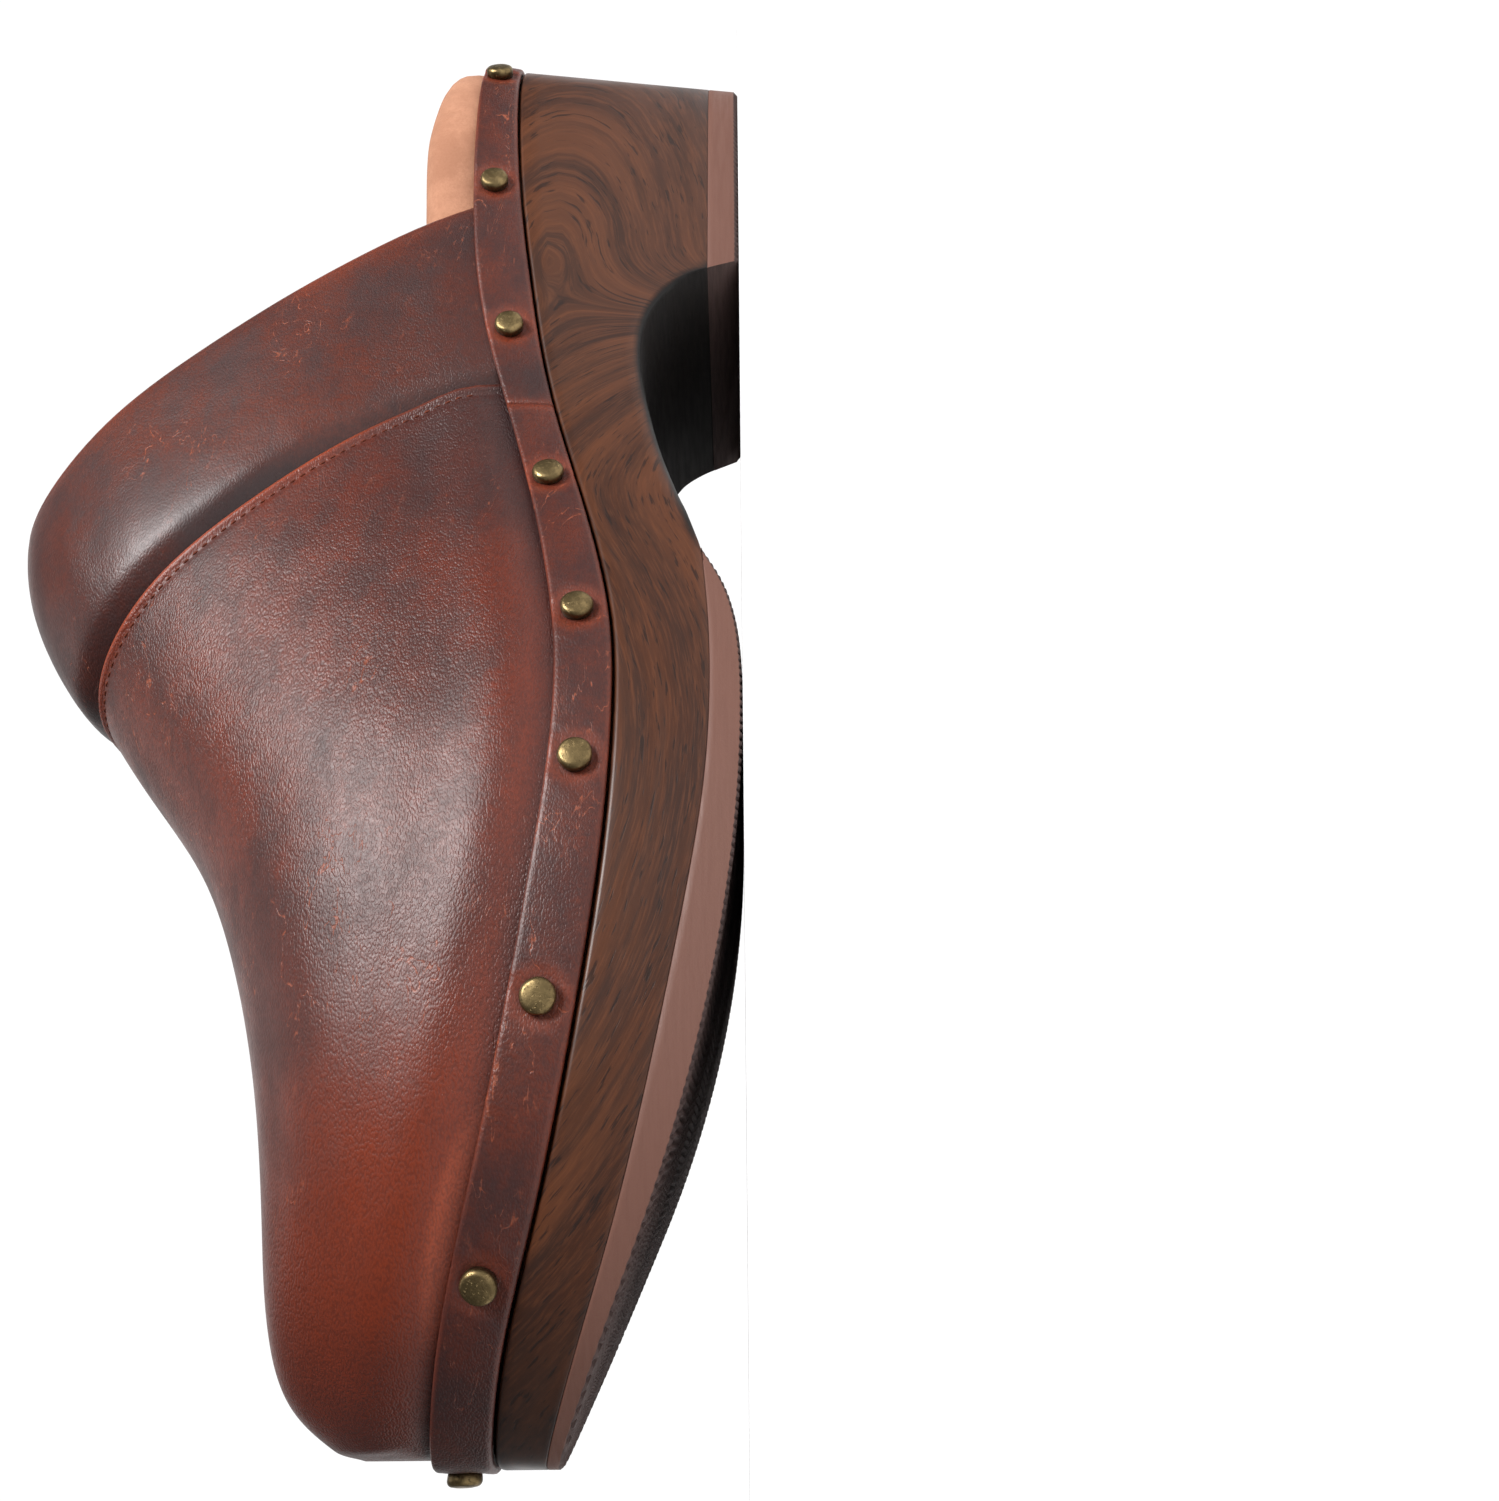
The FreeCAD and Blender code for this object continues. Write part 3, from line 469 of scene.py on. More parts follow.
vamp_leather = leather("vamp_leather", (0.030, 0.0066, 0.0050), (0.078, 0.0125, 0.0062),
                       (0.136, 0.0200, 0.0068), edge=(0.215, 0.0300, 0.0080),
                       purple_share=0.8, grain=0.06, scuffs=1.3)
collar_leather = leather("collar_leather", (0.026, 0.0078, 0.0072), (0.066, 0.0140, 0.0090),
                         (0.114, 0.0205, 0.0085), edge=RUST, purple_share=0.8, grain=0.035, scuffs=1.6)
rand_leather = leather("rand_leather", (0.028, 0.0072, 0.0064), (0.066, 0.0130, 0.0080),
                       (0.108, 0.0190, 0.0080), edge=RUST, purple_share=0.9, grain=0.04, scuffs=1.5)


def walnut():
    """Lacquered walnut figure; the grain attribute holds (field across the grain, along, 0)."""
    p = Paint("walnut", 0.36, specular=0.34, coat=0.06, coat_roughness=0.25)
    grain = p.attribute("grain", "Vector")
    warp = p.minus(p.noise(0.022, 2.0, 0.5, vector=grain), 0.5)
    fine_warp = p.minus(p.noise(0.12, 2.0, 0.5, vector=p.stretch((1, 0.6, 1), vector=grain)), 0.5)
    push = p.plus(p.times(warp, 3.4), p.times(fine_warp, 1.0))
    shifted = p.node("ShaderNodeVectorMath", 0, {"operation": "ADD"}, i0=grain,
                     i1=p.node("ShaderNodeCombineXYZ", 0, X=push))
    bands = p.noise(0.20, 2.0, 0.5, vector=p.stretch((1.0, 0.07, 1), vector=shifted))
    streak = p.noise(0.52, 3.0, 0.55, vector=p.stretch((1.0, 0.045, 1), vector=shifted))
    hair = p.noise(3.2, 4.0, 0.65, vector=p.stretch((1.0, 0.045, 1), vector=shifted))
    pore = p.noise(2.4, 2.0, 0.5, vector=p.stretch((1.0, 0.09, 1), vector=shifted))
    colour = p.mix(p.fit(bands, 0.32, 0.66), (0.046, 0.0150, 0.0070), (0.088, 0.0285, 0.0115))
    colour = p.mix(p.fit(streak, 0.42, 0.66, 0.0, 0.60), colour, (0.020, 0.0075, 0.0045))
    colour = p.mix(p.fit(hair, 0.44, 0.70, 0.0, 0.45), colour, (0.140, 0.046, 0.018))
    pores = p.fit(pore, 0.60, 0.68)
    colour = p.mix(p.times(pores, 0.75), colour, (0.012, 0.0055, 0.004))
    # near-black under the arch, partly a dark stain and partly painted shadow, and painted shade towards the
    # toe
    colour = p.mix(p.attribute("painted_shade_and_stain"), colour, (0.0035, 0.0022, 0.0018))
    relief = p.minus(p.times(hair, 0.25), p.times(pores, 0.4))
    normal = p.bump(relief, 0.03, 0.6)
    rough = p.fit(streak, 0.3, 0.7, 0.33, 0.42)
    return p.finish(colour, rough, normal)


def rubber(name, base, other, roughness=0.55):
    """Moulded rubber: faint streaks along the edge, dust and a few scuffed spots."""
    p = Paint(name, roughness, specular=0.4)
    streaks = p.noise(0.9, 4.0, 0.6, vector=p.stretch((0.12, 0.12, 1.6)))
    colour = p.mix(p.fit(streaks, 0.35, 0.68), base, other)
    dust = p.fit(p.noise(0.5, 6.0, 0.8), 0.66, 0.76)
    colour = p.mix(p.times(dust, 0.35), colour, tuple(min(1.0, c * 1.7) for c in base))
    mark = p.fit(p.cells(0.09), 0.0, 0.045, 1.0, 0.0)
    colour = p.mix(p.times(mark, 0.6), colour, tuple(c * 0.5 for c in base))
    normal = p.bump(p.plus(p.noise(2.4, 3.0, 0.6), p.times(streaks, 0.8)), 0.05, 0.7)
    return p.finish(colour, p.fit(streaks, 0.3, 0.7, roughness - 0.06, roughness + 0.08), normal)


def suede():
    """Napped suede with soft mottling and small dark specks."""
    p = Paint("suede", 0.9, specular=0.15, sheen=0.15, sheen_tint=(1.0, 0.78, 0.62, 1.0))
    mottle = p.noise(0.14, 5.0, 0.65)
    nap = p.noise(2.2, 5.0, 0.75)
    colour = p.mix(p.fit(mottle, 0.36, 0.66), (0.40, 0.190, 0.115), (0.50, 0.250, 0.155))
    colour = p.mix(p.fit(nap, 0.35, 0.72, 0.0, 0.4), colour, (0.34, 0.150, 0.088))
    specks = p.times(p.fit(p.cells(0.42), 0.0, 0.16, 1.0, 0.0),
                    p.fit(p.noise(0.2, 2.0, 0.5), 0.5, 0.62))
    colour = p.mix(p.times(specks, 0.55), colour, (0.26, 0.11, 0.055))
    normal = p.bump(nap, 0.12, 0.8, normal=p.bump(mottle, 0.35, 0.6))
    return p.finish(colour, p.fit(nap, 0.3, 0.7, 0.82, 0.95), normal)


def brass():
    """Tarnished brass, darker and pitted towards the rim."""
    p = Paint("brass", 0.36, specular=0.5, metallic=1.0)
    tarnish = p.noise(0.55, 5.0, 0.7)
    colour = p.mix(p.fit(tarnish, 0.36, 0.62), (0.300, 0.215, 0.100), (0.155, 0.112, 0.052))
    colour = p.mix(p.times(p.attribute("worn"), 0.8), colour, (0.085, 0.060, 0.030))
    pit = p.fit(p.noise(3.0, 3.0, 0.6), 0.60, 0.72)
    colour = p.mix(p.times(pit, 0.5), colour, (0.055, 0.040, 0.022))
    normal = p.bump(p.minus(p.noise(0.8, 4.0, 0.6), pit), 0.10, 0.6)
    return p.finish(colour, p.fit(tarnish, 0.35, 0.65, 0.30, 0.48), normal)


def lining_leather():
    """Pale unfinished lining leather."""
    base, other, roughness = (0.52, 0.27, 0.15), (0.62, 0.34, 0.20), 0.6
    p = Paint("lining_leather", roughness, specular=0.35)
    cloud = p.noise(0.09, 4.0, 0.6)
    pebble = p.cells(1.2, feature="SMOOTH_F1")
    colour = p.mix(p.fit(cloud, 0.35, 0.66), base, other)
    colour = p.mix(p.fit(pebble, 0.3, 0.8, 0.0, 0.4), colour, tuple(c * 0.6 for c in base))
    return p.finish(colour, p.fit(cloud, 0.3, 0.7, roughness - 0.05, roughness + 0.08),
                    p.bump(pebble, 0.08, 0.8))


def thread_material():
    """Waxed thread, twisted in plies."""
    p = Paint("thread", 0.75, specular=0.2)
    ply = p.noise(1.8, 2.0, 0.5)
    colour = p.mix(p.fit(ply, 0.35, 0.65), (0.150, 0.032, 0.014), (0.085, 0.020, 0.011))
    return p.finish(colour, 0.75, p.bump(ply, 0.08, 0.8))


walnut_material = walnut()
sidewall_rubber = rubber("sidewall_rubber", (0.160, 0.072, 0.052), (0.150, 0.066, 0.047))
# painted shade: the same rubber as the sidewall, made darker for the ground faces
tread_rubber_in_painted_shade = rubber("tread_rubber_in_painted_shade", (0.090, 0.053, 0.047), (0.066, 0.039, 0.035), 0.7)
# near-black rubber for under the arch: a dark stain and painted shadow
arch_stain_and_painted_shadow = rubber("arch_stain_and_painted_shadow", (0.0085, 0.0055, 0.0045), (0.0060, 0.0040, 0.0035), 0.62)
suede_material = suede()
brass_material = brass()
lining_material = lining_leather()
stitch_thread = thread_material()

# ---- wooden sole
STATIONS = np.unique(np.concatenate([
    tip_stations(0, LENGTH, 240, both=True), np.linspace(61, 90, 75), [HEEL_BREAST]]))   # dense at the breast
STATIONS[0], STATIONS[-1] = 0.0, LENGTH


def edge_round(u):
    """Radius of the wood's lower edge: rounded under the arch, crisp on the rubber."""
    return 0.15 + 1.25 * smooth_step(u, HEEL_BREAST + 0.3, HEEL_BREAST + 4.5) * (1 - smooth_step(u, 117, 123))


def from_bottom(turn):
    """Height function of a ring on the rounded lower edge, by its turn round the edge."""
    return lambda u: wood_bottom(u) + edge_round(u) * (1 - math.cos(turn))


def bottom_depth(turn):
    """Depth function of the same ring."""
    return lambda x: edge_round(x) * (1 - math.sin(turn))


def wall_height(share):
    """Height function of a ring on the wall, from the rounded edge (0) to below the rand (1)."""
    return lambda u: (wood_bottom(u) + edge_round(u)) * (1 - share) + (rand_foot(u) - 1.0) * share


SHOULDER = 0.8                             # radius of the wood's edge just below the rand
WOOD_UNDER_TOP = 0.7                       # how far the wood ends below the rand's top
sole_rings = [(2.2, wood_bottom)]
sole_rings += [(bottom_depth(a), from_bottom(a)) for a in np.radians([0, 22, 45, 67, 90])]
sole_rings += [(0.0, wall_height(s)) for s in np.linspace(0, 1, 12)[1:]]
sole_rings += [(SHOULDER * (1 - math.cos(a)), lambda u, a=a: rand_foot(u) - 1.0 + SHOULDER * math.sin(a))
               for a in np.radians([22, 45, 67, 90])]
sole_rings += [(REBATE, lambda u: rand_foot(u) - 0.2), (REBATE, lambda u: rand_top(u) - 0.9),
               (REBATE + 0.5, lambda u: rand_top(u) - WOOD_UNDER_TOP)]
sole_points = paired_body(STATIONS, STATIONS, sole_rings, 26, lambda u, x, y: wood_bottom(u),
                          lambda u, x, y: rand_top(u) - WOOD_UNDER_TOP)


def grain_field(points):
    """Across-grain and along-grain places: nested arcs at the heel, nested bows at the forefoot."""
    x, y, z = points[..., 0], points[..., 1], points[..., 2]
    arcs = np.hypot((x - 64) * 0.42, (z - 33) * 0.95) + 0.12 * z + 0.2 * np.abs(y)
    bows = 64 - np.hypot(x - 166, z - 84) - 0.15 * np.abs(y)
    straight = z * 0.9 - 0.34 * x + 0.2 * y
    heel = 1 - smooth_step(x, 58, 96)
    fore = smooth_step(x, 88, 135)
    field = heel * arcs + fore * bows + (1 - heel - fore) * straight
    return np.stack([field, x + 0.2 * z, 0.15 * y], -1)


def sole_stain_and_painted_shade(points):
    """Dark stain and painted shadow under the arch, fading over the lower edge, and painted shade at the toe.
    """
    x, y, z = points[..., 0], points[..., 1], points[..., 2]
    u = unslant(x, y)
    above = z - wood_bottom(u)
    under = smooth_step(x, HEEL_BREAST - 2.4, HEEL_BREAST) * (1 - smooth_step(u, 120, 125))
    return np.maximum(under * (1 - smooth_step(above, 0.25, 1.3)), 0.55 * smooth_step(x, 228, 253))


sole_piece = make_object("walnut_sole", [(sole_points, True, 0)], [walnut_material, arch_stain_and_painted_shadow],
                         ["wooden_sole"], {"grain": grain_field, "painted_shade_and_stain": sole_stain_and_painted_shade})
# the faces that are wholly in the dark stain and painted shadow take the arch's own near-black material
_stain_and_shade = np.zeros(len(sole_piece.data.vertices), np.float32)
sole_piece.data.attributes["painted_shade_and_stain"].data.foreach_get("value", _stain_and_shade)
for _face in sole_piece.data.polygons:
    if min(_stain_and_shade[v] for v in _face.vertices) > 0.97:
        _face.material_index = 1

# ---- outsole and heel lift
RIB_PITCH, RIB_DEPTH = 1.3, 0.5


def ribs(x, y):
    """Groove depth of the tread: fine ribs across the sole, a little wavy."""
    phase = (x + 0.22 * y + 0.55 * np.sin(y / 5.0) + 0.4 * np.sin(x / 17.0)) / RIB_PITCH
    return RIB_DEPTH * smooth_step(np.sin(2 * math.pi * phase), -0.35, 0.75)


def tread_body(inner_x, outer_x, base, top_height, bevel, across, sides=5):
    """Rubber slab; the levels are (depth, rise, share of the rib grooves) round its lower edge."""
    edge = bevel + 0.15

    def thick(u):
        return np.maximum(top_height(u) - base(u), 0.0)

    levels = [(bevel + 2.0, 0.0, 1.0), (bevel + 0.25, 0.0, 1.0), (bevel, 0.02, 0.8), (0.0, bevel, 0.2),
              (0.0, edge, 0.0)]
    rings = [(d, lambda u, r=r: base(u) + np.minimum(r, 0.6 * thick(u))) for d, r, _ in levels]
    rings += [(0.0, lambda u, s=s: base(u) + thick(u) * s + (1 - s) * np.minimum(edge, 0.6 * thick(u)))
              for s in np.linspace(0, 1, sides + 1)[1:-1]]
    rings += [(0.0, lambda u: np.maximum(top_height(u) - 0.15, base(u))),
              (0.15, top_height), (2.0, top_height)]
    grid = paired_body(inner_x, outer_x, rings, across, lambda u, x, y: base(u),
                       lambda u, x, y: top_height(u))
    return grid, levels, across


def cut_ribs(body):
    """Raises the ground face's points by the rib grooves, which also notch the lower edge."""
    grid, levels, across = body
    shares = np.zeros(grid.shape[1])
    shares[:across - 1] = 1.0
    for k, (_, _, share) in enumerate(levels):
        shares[across - 1 + k] = share
        shares[-1 - k] = share
    u = unslant(grid[..., 0], grid[..., 1])
    room = np.clip((wood_bottom(u) - grid[..., 2]) / 2.5, 0, 1)
    grid[..., 2] += ribs(grid[..., 0], grid[..., 1]) * shares[None, :] * room
    return grid


def tread_faces(body):
    """Material index by column: 1 on the ground face, 0 on the walls and top."""
    grid, levels, across = body
    index = np.zeros(grid.shape[1], int)
    index[:across - 1] = 1
    ground = len(levels) - 2
    index[across - 1:across - 1 + ground] = 1
    index[-1 - ground:] = 1
    return index


def side_start(side, u_start):
    """x on one side's outline where station u begins."""
    x = u_start
    for _ in range(20):
        x = slant(u_start, rim_xy(np.array([x]), side, 0.0)[1][0])
    return float(x)


FINE = 760         # stations along the outsole
outsole = tread_body(tip_stations(side_start(1, OUTSOLE_START), LENGTH, FINE),
                     tip_stations(side_start(-1, OUTSOLE_START), LENGTH, FINE),
                     tread_z, outsole_top, 0.35, 30)
outsole_points = cut_ribs(outsole)
make_object("ribbed_outsole", [(outsole_points, True, tread_faces(outsole))],
            [sidewall_rubber, tread_rubber_in_painted_shade], ["forefoot_outsole"])

lift_x = HEEL_BREAST * (1 - np.sin(math.pi / 2 * np.linspace(1, 0, 361)))
lift = tread_body(lift_x, lift_x, lambda u: 0.0 * u, lambda u: LIFT_THICK + 0.0 * u, 0.75, 26, sides=4)
lift_points = cut_ribs(lift)
lift_points[..., 0] -= (BREAST_LEAN * smooth_step(lift_points[..., 0], 40, HEEL_BREAST)
                        * (1 - lift_points[..., 2] / LIFT_THICK))
lift_piece = make_object("ribbed_heel_lift", [(lift_points, True, tread_faces(lift))],
                         [sidewall_rubber, tread_rubber_in_painted_shade], ["heel_top_lift"], caps=True)
sharpen(lift_piece, 60)


# ---- nails and rands
def nail_seat(where, x, side):
    """Middle of a nail on the rand's face, and its outward direction."""
    if side == 0:
        px, py = (LENGTH + RAND_PROUD, 0.0) if where == "front" else (-RAND_PROUD, 0.0)
        out = np.array([1.0 if where == "front" else -1.0, 0.0, 0.0])
    else:
        (px,), (py,) = rim_xy(np.array([x]), side, -RAND_PROUD)
        (qx,), (qy,) = rim_xy(np.array([x]), side, -RAND_PROUD - 1.0)
        out = np.array([qx - px, qy - py, 0.0])
    u = float(unslant(px, py))
    z = 0.5 * (rand_top(u) + rand_foot(u)) + 0.3
    centre = np.array([px + rake(px, z), py * taper(px, z), z])
    return centre, out / np.linalg.norm(out)


NAILS = {where: [nail_seat(where, end, 0)] + [nail_seat(where, x, s) for s in (1, -1) for x in places]
         for where, end, places in (("front", LENGTH, FRONT_NAILS), ("rear", 0.0, REAR_NAILS))}
ALL_SEATS = np.array([seat for group in NAILS.values() for seat, _ in group])
JOINT_GAP = 0.12                           # half of the gap where the two rands meet


def rand_line(where, pitch):
    """Stations (x, side) along a rand at an even pitch, from its inner end to its outer end."""
    spots = []
    for side in (1, -1):
        at, _ = SIDES[side]
        gone = np.concatenate([[0], np.cumsum(np.linalg.norm(np.diff(at, axis=0), axis=1))])
        joint = np.interp(RAND_JOINT + (JOINT_GAP if where == "front" else -JOINT_GAP), at[:, 0], gone)
        low, high = (joint, gone[-1]) if where == "front" else (0.0, joint)
        steps = np.linspace(low, high, int((high - low) / pitch) + 1)
        xs = np.interp(steps, gone, at[:, 0])
        xs = xs[(xs > 0.002) & (xs < LENGTH - 0.002)]
        xs = np.append(xs, LENGTH) if where == "front" else np.insert(xs, 0, 0.0)
        spots.append((xs, side))
    (first, _), (second, _) = spots
    if where == "front":
        return [(first, 1), (second[::-1][1:], -1)]
    return [(first[::-1], 1), (second[1:], -1)]


def rand_section():
    """(depth, share of height) round the strip: outer face, top edge, back and foot, corners rounded."""
    low, high, radius = -RAND_PROUD, RAND_INNER, 0.55
    section = [(low, s) for s in np.linspace(0.09, 0.91, 17)]
    for a in np.radians([25, 50, 75, 90]):
        section.append((low + radius * (1 - math.cos(a)), 0.93 + 0.07 * math.sin(a)))
    section += [(high, 0.99), (high, 0.5), (high, 0.01)]
    for a in np.radians([90, 75, 50, 25]):
        section.append((low + radius * (1 - math.cos(a)), 0.07 - 0.07 * math.sin(a)))
    return section


def make_rand(where, pitch):
    """Points of a rand strip, pulled in round the nails and swelling a little between them."""
    rows = []
    for depth, share in rand_section():
        def height(u, share=share):
            return rand_foot(u) + 0.1 + share * (rand_top(u) - rand_foot(u) - 0.1)
        rows.append(np.vstack([rim(xs, side, depth, height) for xs, side in rand_line(where, pitch)]))
    points = np.stack(rows, 1)
    centre = points.mean(1, keepdims=True)
    flat = points.reshape(-1, 3)
    near = np.linalg.norm(flat[:, None, :] - ALL_SEATS[None], axis=2)
    nearest = near.min(1).reshape(points.shape[:2])
    pull = 0.30 * np.exp(-(((np.maximum(nearest - 2.2, 0)) / 1.5) ** 2))
    angle = np.sin(points[..., 0] * 2.1 + points[..., 2] * 1.3) * np.sin(points[..., 0] * 0.83 + 1.0)
    pucker = 0.10 * np.exp(-(((nearest - 4.2) / 2.2) ** 2)) * angle
    section = rand_section()
    face = np.array([1.0 if d < 0.3 else 0.0 for d, _ in section])
    swell = np.array([0.16 * math.sin(math.pi * min(max(s, 0), 1)) if d < 0 else 0.0 for d, s in section])
    wave = 0.07 * np.sin(points[..., 0] * 0.21 + 0.7) + 0.05 * np.sin(points[..., 0] * 0.47 + points[..., 1])
    push = (swell[None, :] - pull + pucker + 0.5 * wave) * face[None, :]
    along = np.gradient(centre[:, 0], axis=0)
    along /= np.linalg.norm(along, axis=1)[:, None]
    out = np.stack([-along[:, 1], along[:, 0], 0 * along[:, 0]], 1)
    out *= np.sign((out * (centre[:, 0] - INSIDE)).sum(1))[:, None]
    return points + out[:, None, :] * push[..., None]


def rand_worn(points):
    """Rust wear along the strip's two long edges, at its ends and round the nails."""
    rows, columns = points.shape[:2]
    section = rand_section()
    rim_share = np.array([bump_at(s, 0.02, 0.035) + bump_at(s, 0.98, 0.035) if d < 0.5 else 0.0
                          for d, s in section])
    x = points[..., 0]
    patchy = 0.35 + 0.65 * (0.5 + 0.5 * np.sin(x * 0.19 + 2.0 * np.sin(x * 0.05)))
    near = np.linalg.norm(points.reshape(-1, 3)[:, None, :] - ALL_SEATS[None], axis=2).min(1)
    ring = 0.38 * bump_at(near.reshape(rows, columns), 3.4, 1.1)
    ends = 0.5 * bump_at(np.abs(x - RAND_JOINT), 0.0, 1.2)
    return np.clip(0.45 * rim_share[None, :] * patchy + ring + ends, 0, 1)


def rand_joint_dark_and_painted_shade(points):
    """Darker at the joint, and painted shade round the toe."""
    x = points[..., 0]
    return 0.55 * np.clip(bump_at(x, 92, 5) + 0.8 * bump_at(x, 236, 16) + 0.5 * bump_at(x, 255, 8), 0, 1)


for where in ("front", "rear"):
    make_object(f"{where}_rand_leather", [(make_rand(where, 0.8), True, 0)], [rand_leather],
                [f"{where}_rand_strip"], {"worn": rand_worn, "painted_shade_and_stain": rand_joint_dark_and_painted_shade}, caps=True)


def nail_profile():
    """(radius, height) of the head from the middle of its face, over a rolled rim, to its skirt."""
    face = [(0.0, 1.68), (0.6, 1.68), (1.1, 1.65), (1.5, 1.58)]
    rim_part = [(1.62 + 0.83 * math.sin(a), 0.72 + 0.83 * math.cos(a))
                for a in np.radians([12, 25, 38, 51, 64, 77, 90])]
    return face + rim_part + [(2.42, 0.3), (2.3, -0.4), (0.7, -0.4), (0.7, -4.0), (0.0, -4.0)]


def make_nails(where):
    """Turned nails, each a little dented and tilted by its own random draws."""
    turns = np.linspace(0, 2 * math.pi, 41)[:-1]
    profile = nail_profile()
    grids = []
    for k, (seat, out) in enumerate(NAILS[where]):
        up = np.array([0.0, 0.0, 1.0])
        side = np.cross(up, out)
        rng = np.random.default_rng(11 + k + (100 if where == "rear" else 0))
        dent = rng.uniform(-1, 1, 4)
        tilt = rng.uniform(-0.05, 0.05, 2)
        rows = []
        for radius, height in profile:
            wobble = 1 + 0.012 * np.sin(2 * turns + dent[0] * 3) + 0.008 * np.sin(5 * turns + dent[1] * 3)
            lift = height + 0.04 * dent[2] * np.sin(turns + dent[3] * 3) * (radius / 2.4)
            px = radius * wobble * np.cos(turns)
            py = radius * wobble * np.sin(turns)
            lift = lift + (tilt[0] * px + tilt[1] * py) * (1 if height > 0 else 0)
            rows.append(seat + px[:, None] * side + py[:, None] * up + lift[:, None] * out)
        grids.append((np.stack(rows, 0), True, 0))
    return grids


def nail_rim(points):
    """Dark tarnish towards the skirt of each head: rows run from the face's middle outwards."""
    share = np.zeros(points.shape[0])
    for k, (radius, height) in enumerate(nail_profile()):
        share[k] = float(smooth_step(1.35 - height, 0.0, 1.0)) + 0.2 * float(bump_at(radius, 1.6, 0.25))
    return np.repeat(np.clip(share, 0, 1)[:, None], points.shape[1], axis=1)


for where in ("front", "rear"):
    make_object(f"{where}_brass_nails", make_nails(where), [brass_material],
                [f"{where}_rand_nails"], {"worn": nail_rim})

# ---- upper
QUARTER = 44       # columns from the feather edge up to the ridge
_ridge_curve = Curve(RIDGE)
_dense_ridge = _ridge_curve.at(np.linspace(0, _ridge_curve.t[-1], 4000))
_ridge_along = np.gradient(_dense_ridge, axis=0)
_ridge_along /= np.linalg.norm(_ridge_along, axis=1)[:, None]


def ridge_at(inset):
    """Function x -> z of the upper's ridge at a depth inside it."""
    moved = _dense_ridge + inset * np.stack([_ridge_along[:, 1], -_ridge_along[:, 0]], 1)
    return lambda x: np.interp(x, moved[:, 0], moved[:, 1])


def width_at(inset):
    """Function (x, side) -> half width at a depth inside the outline, and the tip's x."""
    tables = {}
    for side in (1, -1):
        at, normal = SIDES[side]
        moved = at + normal * inset
        moved[0], moved[-1] = (inset, 0.0), (LENGTH - inset, 0.0)
        tables[side] = moved
    return (lambda x, side: np.abs(np.interp(x, tables[side][:, 0], tables[side][:, 1])),
            LENGTH - inset)


class Skin:
    """The upper's surface at an inset; a column is an angle from the inner feather edge (0) over
    the ridge (90) to the outer one (180). Angles below 0 or above 180 go down behind the rand."""

    def __init__(self, inset):
        self.width, self.tip = width_at(MARGIN + inset)
        self.ridge = ridge_at(inset)

    def point(self, x, angle):
        x, angle = np.broadcast_arrays(np.asarray(x, float), np.asarray(angle, float))
        side = np.where(angle <= 90, 1, -1)
        quarter = np.where(angle <= 90, angle, 180 - angle)
        width = np.where(side > 0, self.width(x, 1), self.width(x, -1))
        width = np.where(x >= self.tip, 0.0, width)
        u = unslant(x, side * width)
        foot = rand_top(u) - 0.3
        turn = np.radians(np.clip(quarter, 0, 90))
        power = 2.0 / (2.15 + 0.75 * smooth_step(x, 130, 235))
        crest = np.maximum(self.ridge(x), foot + 2.0)
        crest_y = 4.0 * (1 - smooth_step(x, 200, 245)) * np.minimum(width, 40) / 40
        y = crest_y + (side * width * taper(x, foot) - crest_y) * np.abs(np.cos(turn)) ** power
        z = foot + (crest - foot) * np.abs(np.sin(turn)) ** power
        z = z - 0.5 * np.clip(-quarter, 0, None)    # 0.5 mm down for each degree past the feather edge
        return np.stack([x + 0.0 * y, y, z], -1)

    def on_line(self, line_x, angle):
        """x where each angle's column meets a line that is given as a function z -> x."""
        x = np.full(len(angle), float(line_x(60.0)))
        for _ in range(60):
            x = x + 0.5 * (line_x(self.point(x, angle)[..., 2]) - x)
        return x


def side_line(profile):
    """Function z -> x of a line that runs up the clog's side."""
    return height_on([(z, x) for x, z in profile])


edge_x, seam_x = side_line(OPENING_EDGE), side_line(COLLAR_SEAM)
_half = np.linspace(0, 90, QUARTER + 1)
ANGLES = np.concatenate([[-9.0, -4.0], _half, 180 - _half[::-1][1:], [184.0, 189.0]])


def grid_normals(points):
    """Unit normals of a grid of points, turned outwards."""
    n = np.cross(np.gradient(points, axis=0), np.gradient(points, axis=1))
    n = n / np.maximum(np.linalg.norm(n, axis=2, keepdims=True), 1e-9)
    return n * np.sign((n * (points - INSIDE)).sum(2).mean())


def travelled(points):
    """Distance down each column of a grid from its first row."""
    steps = np.linalg.norm(np.diff(points, axis=0), axis=2)
    return np.cumsum(np.concatenate([np.zeros((1, points.shape[1])), steps]), axis=0)


def above_rand(points):
    """Height of the points over the rand's top."""
    return points[..., 2] - rand_top(unslant(points[..., 0], points[..., 1]))


ROWS = 150         # rows from the seam to the toe
skin = Skin(0.0)
seam_start = skin.on_line(seam_x, ANGLES)
TOE_CROWDING = 1.9                         # power that crowds the rows at the toe
shares = 1 - (1 - np.linspace(0, 1, ROWS + 1)) ** TOE_CROWDING
near_seam = np.array([0.0, 0.0012, 0.003, 0.006, 0.009, 0.0125, 0.016, 0.02, 0.025])
shares = np.unique(np.concatenate([near_seam, shares[shares > 0.03], [1.0]]))
grid_x = seam_start[None, :] + (skin.tip - seam_start)[None, :] * shares[:, None]
vamp_skin = skin.point(grid_x, ANGLES[None, :])
vamp_normal = grid_normals(vamp_skin)
from_seam = travelled(vamp_skin)


